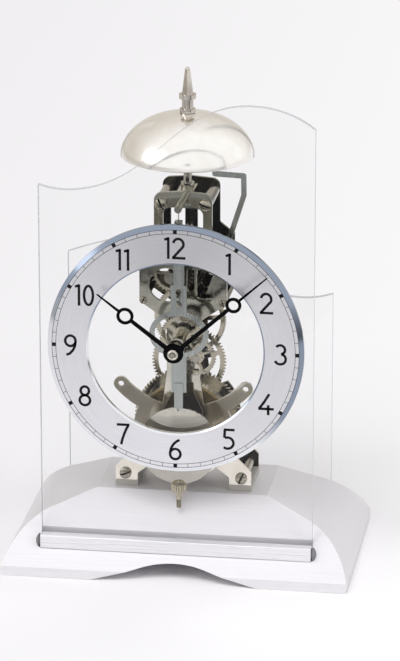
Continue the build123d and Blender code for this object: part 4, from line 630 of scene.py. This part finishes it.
def dial_print():
    numerals, track = bmesh.new(), bmesh.new()
    for hour in range(1, 13):
        x, z = dial_point(numeral_radius, radians(30 * hour))
        x += numeral_nudge.get(hour, 0.0)
        for line in numeral_lines(str(hour)):
            closed = abs(line[0][0] - line[-1][0]) + abs(line[0][1] - line[-1][1]) < 1e-6
            stroke = [(x + a, z + b) for a, b in (line[:-1] if closed else line)]
            ink_ribbon(numerals, stroke, numeral_stroke, closed)
    for radius in (track_inner, track_outer):
        turns = [pi / 2 - tau * i / track_steps for i in range(track_steps)]
        ink_ribbon(track, [dial_point(radius, turn) for turn in turns], track_line, True)
    for minute in range(60):
        ends = [dial_point(radius, tau * minute / 60) for radius in (track_inner, track_outer)]
        ink_ribbon(track, ends, track_line if minute % 5 else hour_square)
    for name, build in (("dial_numerals", numerals), ("dial_minute_track", track)):
        mesh = finished_mesh(name, build)
        mesh.materials.append(print_ink)
        fit_piece(name, mesh, "stand")


dial_print()


def turned_mesh(name, outline, steps, ripple=None, shell=False):
    """Lathe mesh about +Z from (radius, height) points, a shell if its end meets its start.

    ripple(turn, row) is added to the radius."""
    build = bmesh.new()
    rings = []
    for row, (radius, height) in enumerate(outline):
        ring = []
        for turn in [tau * step / steps for step in range(steps)]:
            r = radius + (ripple(turn, row) if ripple else 0.0)
            ring.append(build.verts.new((r * cos(turn) * mm, r * sin(turn) * mm, height * mm)))
        rings.append(ring)
    for first, second in zip(rings, rings[1:] + (rings[:1] if shell else [])):
        for i in range(steps):
            j = (i + 1) % steps
            build.faces.new((first[i], first[j], second[j], second[i]))
    if not shell:
        build.faces.new(list(reversed(rings[0])))
        build.faces.new(rings[-1])
    return finished_mesh(name, build)


def cut_away(mesh, cutter, place=Matrix.Identity(4)):
    """What is left of a mesh at a place once a cutter in the clock's frame is taken out of it."""
    stock, blade = bpy.data.objects.new("stock", mesh), bpy.data.objects.new("blade", cutter)
    stock.matrix_world = place
    for thing in (stock, blade):
        bpy.context.scene.collection.objects.link(thing)
    cut = stock.modifiers.new("cut", "BOOLEAN")
    cut.operation, cut.object, cut.solver = "DIFFERENCE", blade, "EXACT"
    left = bpy.data.meshes.new_from_object(stock.evaluated_get(bpy.context.evaluated_depsgraph_get()))
    for thing in (stock, blade):
        bpy.data.objects.remove(thing)
    return left


# Screws of the plates: domed heads with a driver slot painted nearly black as shade
screw_depth, screw_tip, head_edge, next_slot_turn = 7.6, 0.6, 0.15, 47
foot_pillar, mid_pillar, top_pillar, bridge_seat = (35.2, 53.6), (24.0, 163.6), (13.2, 224.0), (0.0, 226.5)


def slotted_screw(name, head, shank):
    """Screw with its domed head towards +Z and its seat at zero."""
    wall_top, dome_foot, dome_rise, dome_steps, crown_radius = 0.28 * head, 0.3 * head, 0.32 * head, 7, 0.04
    crown = dome_foot + dome_rise
    slot_width, slot_depth, hair = 0.32 * head, 0.36 * head, 0.01
    dome_turns = [pi / 2 * i / dome_steps for i in range(1, dome_steps)]
    outline = [
        (shank / 2, -screw_depth), (shank, screw_tip - screw_depth), (shank, 0.0), (0.97 * head, 0.0),
        (head, head_edge), (head, wall_top),
        *[(head * cos(t), dome_foot + dome_rise * sin(t)) for t in dome_turns], (crown_radius, crown),
    ]
    build = bmesh.new()
    blade = Matrix.Diagonal((3 * head * mm, slot_width * mm, 2 * slot_depth * mm, 1))
    bmesh.ops.create_cube(build, size=1.0, matrix=Matrix.Translation((0, 0, crown * mm)) @ blade)
    screw = cut_away(turned_mesh(name, outline, steps=40), finished_mesh(name + "_slot", build))
    screw.materials.append(screw_steel)
    screw.materials.append(slot_painted_shade)
    # Painted shade: the faces inside the slot take the nearly black finish
    for face in screw.polygons:
        between = abs(face.center.y) < (slot_width / 2 + hair) * mm
        face.material_index = int(between and face.center.z > (crown - slot_depth - hair) * mm)
    return screw


def place_screws(label, node, head, shank, seats, slot_turn):
    """Puts slotted screws where the node's plain ones are; a seat is (x, z, whether on the front plate).

    head and shank are radii."""
    screw = slotted_screw(label, head, shank)
    for i, (x, z, front) in enumerate(seats):
        tilt = Matrix.Rotation(radians(90 if front else -90), 4, "X")
        turn = Matrix.Rotation(radians(slot_turn + next_slot_turn * i), 4, "Z")
        seat = Matrix.Translation((x * mm, (front_plate_face if front else back_plate_face) * mm, z * mm))
        place = seat @ tilt @ turn
        fit_piece(f"{label}_{i + 1}", screw, "stand", node, place, crease=35)


pillar_seats = [
    (side * x, z, front) for front in (True, False) for x, z in (foot_pillar, top_pillar) for side in (-1, 1)
]
mid_seats = [(side * mid_pillar[0], mid_pillar[1], front) for front in (True, False) for side in (-1, 1)]
place_screws("pillar_screw", "pillar_screws", 3.6, 1.5, pillar_seats, slot_turn=20)
place_screws("mid_screw", "mid_screws", 2.2, 1.1, mid_seats, slot_turn=65)
place_screws("bridge_screw_slotted", "bridge_screw", 2.88, 1.5, [(*bridge_seat, False)], slot_turn=10)


# Minute wheel crossed out to four spokes, so the train shows through it
def crossed_minute_wheel():
    spoke_width, hub_edge, rim_edge, spoke_turn, arc_steps = 1.7, 4.7, 9.3, 0.4, 8
    low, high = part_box("minute_wheel")
    middle = (low + high) / 2
    build = bmesh.new()
    for quarter in range(4):
        corners = []
        for radius, steps in ((hub_edge, range(arc_steps + 1)), (rim_edge, range(arc_steps, -1, -1))):
            lean = asin(spoke_width / 2 / radius)
            start, sweep = pi / 2 * quarter + spoke_turn + lean, pi / 2 - 2 * lean
            corners += [(radius, start + sweep * i / arc_steps) for i in steps]
        ends = [
            [build.verts.new((middle.x + r * cos(t) * mm, y, middle.z + r * sin(t) * mm)) for r, t in corners]
            for y in (low.y - mm, high.y + mm)
        ]
        for end in ends:
            build.faces.new(end)
        for i in range(len(corners)):
            build.faces.new((ends[0][i - 1], ends[0][i], ends[1][i], ends[1][i - 1]))
    place = parts["minute_wheel"].matrix_world.copy()
    crossed = cut_away(parts["minute_wheel"].data.copy(), finished_mesh("spoke_gaps", build), place)
    crossed.materials.clear()
    crossed.materials.append(wheel_nickel)
    fit_piece("minute_wheel_crossed", crossed, "minute", "minute_wheel", place, crease=35)


crossed_minute_wheel()


# Bell spun to a full shoulder, upright at the rim, with the rim's edge rounded over
def spun_bell():
    low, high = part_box("bell")
    radius, rise, rim = (high.x - low.x) / 2 / mm, (high.z - low.z) / mm, low.z / mm
    wall, hole, hole_edge, rim_round, wall_steps = 1.2, 1.75, 0.6, 0.4, 40
    skins = []
    for reach, height in ((radius, rise), (radius - wall, rise - wall)):
        turns = [pi / 2 * i / wall_steps for i in range(wall_steps)]
        oval = [(reach * cos(t), rim + height * sin(t)) for t in turns]
        skins.append([point for point in oval if point[0] > hole + hole_edge] + [(hole, rim + height)])
    outer, inner = skins
    outer[:1] = [(radius - rim_round, rim), (radius, rim + rim_round)]
    mesh = turned_mesh("bell_spun", outer + inner[::-1], steps=144, shell=True)
    mesh.materials.append(bell_nickel)
    place = Matrix.Translation((0, (low.y + high.y) / 2, 0))
    fit_piece("bell_spun", mesh, "stand", "bell", place, crease=40)


spun_bell()


# Rating nut with a fluted grip, painted dark in the flutes as shade
nut_low, nut_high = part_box("rating_nut")
nut_top, nut_bottom, nut_radius = nut_high.z / mm, nut_low.z / mm, (nut_high.x - nut_low.x) / 2 / mm
stem_y = (nut_low.y + nut_high.y) / 2
grip_share, waist_share = 0.42, 0.72
grip_bottom, waist = [nut_top - share * (nut_top - nut_bottom) for share in (grip_share, waist_share)]


def fluted_nut():
    chamfer, flutes, flute_depth, painted_shade_depth = 0.5, 18, 0.6, 0.25
    rows = [
        (nut_radius - 0.6, nut_top), (nut_radius, nut_top - chamfer), (nut_radius, grip_bottom + chamfer),
        (nut_radius - 0.5, grip_bottom), (nut_radius - 1.4, (grip_bottom + waist) / 2),
        (2.2, waist), (1.9, waist - 0.4), (1.8, nut_bottom),
    ]
    grip_rows = (1, 2)

    def flute(turn, row):
        return -flute_depth * max(0.0, cos(flutes * turn)) ** 2 if row in grip_rows else 0.0

    mesh = turned_mesh("rating_nut_fluted", rows, steps=144, ripple=flute)
    mesh.materials.append(nut_brass)
    mesh.materials.append(drawn_brass)
    # Painted shade: faces deep in the flutes take the dark brass finish
    for face in mesh.polygons:
        on_grip = grip_bottom + chamfer < face.center.z / mm < nut_top - chamfer
        face.material_index = int(on_grip and face.center.xy.length < (nut_radius - painted_shade_depth) * mm)
    place = Matrix.Translation((0, stem_y, 0))
    fit_piece("rating_nut_fluted", mesh, "rating_nut", "rating_nut", place, crease=50)


fluted_nut()


# Hand nut dished round the end of the arbor, with a rolled rim
def dished_nut():
    low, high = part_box("hand_nut")
    middle, arbor_hole, side, dish = (low + high) / 2, 1.6, 0.9, 1.5
    radius, length = (high.x - low.x) / 2 / mm, (high.y - low.y) / mm
    rows = [
        (arbor_hole, 0.0), (radius, 0.0), (radius, side), (radius - 0.15, side + 0.4),
        (radius - 0.45, side + 0.85), (radius - 0.85, length - 0.1), (radius - 1.1, length),
        (radius - 1.35, length - 0.1), (arbor_hole + 0.1, dish), (arbor_hole, dish - 0.1),
    ]
    mesh = turned_mesh("hand_nut_dished", rows, steps=64, shell=True)
    mesh.materials.append(bright_nickel_painted_darker)
    place = Matrix.Translation((middle.x, high.y, middle.z)) @ Matrix.Rotation(radians(90), 4, "X")
    fit_piece("hand_nut_dished", mesh, "centre", "hand_nut", place, crease=40)


dished_nut()


# Thread cut on the rating stem, from its end up into the nut
def stem_thread():
    pitch, turn_steps, root, crest, half_width, bare_end = 0.6, 20, 1.29, 1.5, 0.25, 0.3
    low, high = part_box("bob_hanger")[0].z / mm + bare_end, grip_bottom
    section = ((root, -half_width), (crest, 0.0), (root, half_width))
    build = bmesh.new()
    count = int((high - low) / pitch * turn_steps)
    rows = []
    for i in range(count):
        turn, height = tau * i / turn_steps, low + (high - low) * i / count
        rows.append([
            build.verts.new((r * cos(turn) * mm, stem_y + r * sin(turn) * mm, (height + lift) * mm))
            for r, lift in section
        ])
    for first, second in zip(rows, rows[1:]):
        for a in (0, 1):
            build.faces.new((first[a], first[a + 1], second[a + 1], second[a]))
    mesh = finished_mesh("rating_stem_thread", build)
    mesh.materials.append(drawn_brass)
    fit_piece("rating_stem_thread", mesh, "pendulum")


stem_thread()


# Studio: a white paper floor, four softboxes, and cards that only the metal mirrors
def plain_sheet(name, corners, material):
    mesh = bpy.data.meshes.new(name)
    mesh.from_pydata(corners, [], [list(range(len(corners)))])
    mesh.materials.append(material)
    made = bpy.data.objects.new(name, mesh)
    bpy.context.scene.collection.objects.link(made)
    return made


def paper_floor():
    """White paper, painted lighter towards the right as painted light: it takes the clock's shadow close by
    and is seen plain white further off.

    The metal mirrors it dull far to the left."""
    reach, under = 30.0, -0.0002
    material, tree, position = start_material("studio_paper_white")
    across = add(tree, "ShaderNodeSeparateXYZ", {0: position}).outputs["X"]
    ray = add(tree, "ShaderNodeLightPath").outputs
    # Painted light: the paper is painted lighter towards the right
    right = add(tree, "ShaderNodeMapRange", {
        "Value": across, "From Min": -350.0, "From Max": 250.0,
    }).outputs["Result"]
    painted_light_paper = add(tree, "ShaderNodeMix", {
        0: right, 6: srgb("#F1EFF1"), 7: srgb("#FCFBFC"),
    }, data_type="RGBA").outputs[2]
    left = add(tree, "ShaderNodeMapRange", {
        "Value": across, "From Min": -1900.0, "From Max": -500.0, "To Min": 1.0, "To Max": 0.0,
    }).outputs["Result"]
    dull = add(tree, "ShaderNodeMath", {0: left, 1: ray["Is Glossy Ray"]}, operation="MULTIPLY").outputs[0]
    colour = add(tree, "ShaderNodeMix", {0: dull, 6: painted_light_paper, 7: srgb("#CCC7BF")}, data_type="RGBA").outputs[2]
    lit = add(tree, "ShaderNodeBsdfDiffuse", {"Color": colour}).outputs[0]
    plain = add(tree, "ShaderNodeEmission", {"Color": colour, "Strength": 1.0}).outputs[0]
    direct = add(tree, "ShaderNodeMath", {
        0: ray["Is Camera Ray"], 1: ray["Is Glossy Ray"],
    }, operation="ADD").outputs[0]
    looked = add(tree, "ShaderNodeMath", {
        0: direct, 1: ray["Is Transmission Ray"],
    }, operation="ADD").outputs[0]
    away = add(tree, "ShaderNodeVectorMath", {0: position}, operation="LENGTH").outputs["Value"]
    beyond = add(tree, "ShaderNodeMapRange", {
        "Value": away, "From Min": 130.0, "From Max": 420.0,
    }).outputs["Result"]
    far = add(tree, "ShaderNodeMath", {0: beyond, 1: looked}, operation="MULTIPLY").outputs[0]
    paper = add(tree, "ShaderNodeMixShader", {0: far, 1: lit, 2: plain}).outputs[0]
    add(tree, "ShaderNodeOutputMaterial", {"Surface": paper})
    corners = [(-reach, -reach, under), (reach, -reach, under), (reach, reach, under), (-reach, reach, under)]
    plain_sheet("paper_floor", corners, material)


def mirror_card(name, left, right, foot, head, low, high):
    """Upright card between two (x, y) places that shows only in reflections, shaded from foot to head."""
    material, tree, position = start_material(name)
    height = add(tree, "ShaderNodeSeparateXYZ", {0: position}).outputs["Z"]
    up = add(tree, "ShaderNodeMapRange", {
        "Value": height, "From Min": foot / mm, "From Max": head / mm,
    }).outputs["Result"]
    shade = add(tree, "ShaderNodeMix", {0: up, 6: srgb(low), 7: srgb(high)}, data_type="RGBA").outputs[2]
    glow = add(tree, "ShaderNodeEmission", {"Color": shade, "Strength": 1.0}).outputs[0]
    add(tree, "ShaderNodeOutputMaterial", {"Surface": glow})
    made = plain_sheet(name, [(*left, foot), (*right, foot), (*right, head), (*left, head)], material)
    made.visible_camera = made.visible_diffuse = made.visible_shadow = made.visible_transmission = False


def softbox(name, place, aim, width, height, power, mirrored=False):
    """Soft lamp that lights the clock; only a mirrored one shows in the metal."""
    light = bpy.data.lights.new(name, "AREA")
    light.shape, light.size, light.size_y, light.energy = "RECTANGLE", width, height, power
    made = bpy.data.objects.new(name, light)
    bpy.context.scene.collection.objects.link(made)
    made.location = place
    made.rotation_mode = "QUATERNION"
    made.rotation_quaternion = (Vector(aim) - Vector(place)).to_track_quat("-Z", "Y")
    made.visible_camera, made.visible_glossy = False, mirrored


paper_floor()
mirror_card("studio_room_left", (-2.0, -0.55), (-0.13, -0.55), 0.0, 0.16, "#A2A3A5", "#F2F2F2")
mirror_card("studio_room_right", (-0.13, -0.55), (2.0, -0.55), 0.0, 0.18, "#4C4D50", "#EEEEEE")
mirror_card("studio_stand_right", (0.17, 0.54), (0.22, 0.52), 0.0, 1.4, "#5E5C57", "#F4F2EF")
mirror_card("studio_stand_left", (-0.34, 0.45), (-0.28, 0.49), 0.0, 0.6, "#8C877D", "#F2EFEB")
mirror_card("studio_camera", (0.2, -2.5), (0.54, -2.5), 0.78, 1.08, "#2C2B2A", "#383735")
softbox("softbox_front", (-0.3, -1.65, 2.08), (0, 0, 0.1), 1.8, 1.0, 39)
softbox("softbox_left", (-1.7, -1.0, 1.2), (0, 0, 0.12), 1.2, 1.4, 9, True)
softbox("softbox_right", (1.8, -0.9, 1.2), (0, 0, 0.15), 1.0, 1.4, 15)
softbox("softbox_back", (0.5, 2.2, 1.7), (0, 0, 0.1), 1.6, 1.0, 14)


# Room: plain white to the eye, a low even light on the clock, and warm grey behind it in the metal
def studio_room():
    room_light, seen_light, mirrored_light = 0.36, 1.0, 1.1
    front_right = (0.5, -0.75, 0.3)
    world = bpy.data.worlds.new("studio_room")
    bpy.context.scene.world = world
    world.use_nodes = True
    tree = world.node_tree
    tree.nodes.clear()
    ray = add(tree, "ShaderNodeLightPath").outputs
    direction = add(tree, "ShaderNodeTexCoord").outputs["Generated"]
    towards = add(tree, "ShaderNodeVectorMath", {
        0: direction, 1: front_right,
    }, operation="DOT_PRODUCT").outputs["Value"]
    bright = add(tree, "ShaderNodeMapRange", {
        "Value": towards, "From Min": -0.6, "From Max": 0.15,
    }).outputs["Result"]
    mirrored = add(tree, "ShaderNodeMix", {
        0: bright, 6: srgb("#D0CAC2"), 7: srgb("#FFFFFF"),
    }, data_type="RGBA").outputs[2]
    colour = add(tree, "ShaderNodeMix", {
        0: ray["Is Glossy Ray"], 6: srgb("#F7F6F7"), 7: mirrored,
    }, data_type="RGBA").outputs[2]
    looked = add(tree, "ShaderNodeMath", {
        0: ray["Is Camera Ray"], 1: ray["Is Transmission Ray"],
    }, operation="MAXIMUM").outputs[0]
    plain = add(tree, "ShaderNodeMapRange", {
        "Value": looked, "To Min": room_light, "To Max": seen_light,
    }).outputs["Result"]
    power = add(tree, "ShaderNodeMix", {
        0: ray["Is Glossy Ray"], 2: plain, 3: mirrored_light,
    }, data_type="FLOAT").outputs[0]
    lit = add(tree, "ShaderNodeBackground", {"Color": colour, "Strength": power}).outputs[0]
    add(tree, "ShaderNodeOutputWorld", {"Surface": lit})


studio_room()


# Camera fitted to the dial, the base and the panes of the photograph, with the focal length in its pixels
def fitted_camera():
    azimuth, elevation, distance = radians(8.436), radians(18.259), 2.52436
    aim = Vector((0.006938, 0.0, 0.138793))
    focal_pixels, image_height, sensor = 4197.4, 661, 36.0
    camera = bpy.data.cameras.new("camera")
    camera.sensor_width, camera.lens = sensor, focal_pixels / image_height * sensor
    camera.clip_start, camera.clip_end = 0.05, 50.0
    viewer = bpy.data.objects.new("camera", camera)
    bpy.context.scene.collection.objects.link(viewer)
    back = Vector((sin(azimuth) * cos(elevation), -cos(azimuth) * cos(elevation), sin(elevation)))
    viewer.location = aim + distance * back
    viewer.rotation_mode = "QUATERNION"
    viewer.rotation_quaternion = (-back).to_track_quat("-Z", "Y")
    bpy.context.scene.camera = viewer


fitted_camera()
bpy.context.scene.view_settings.view_transform = "Standard"
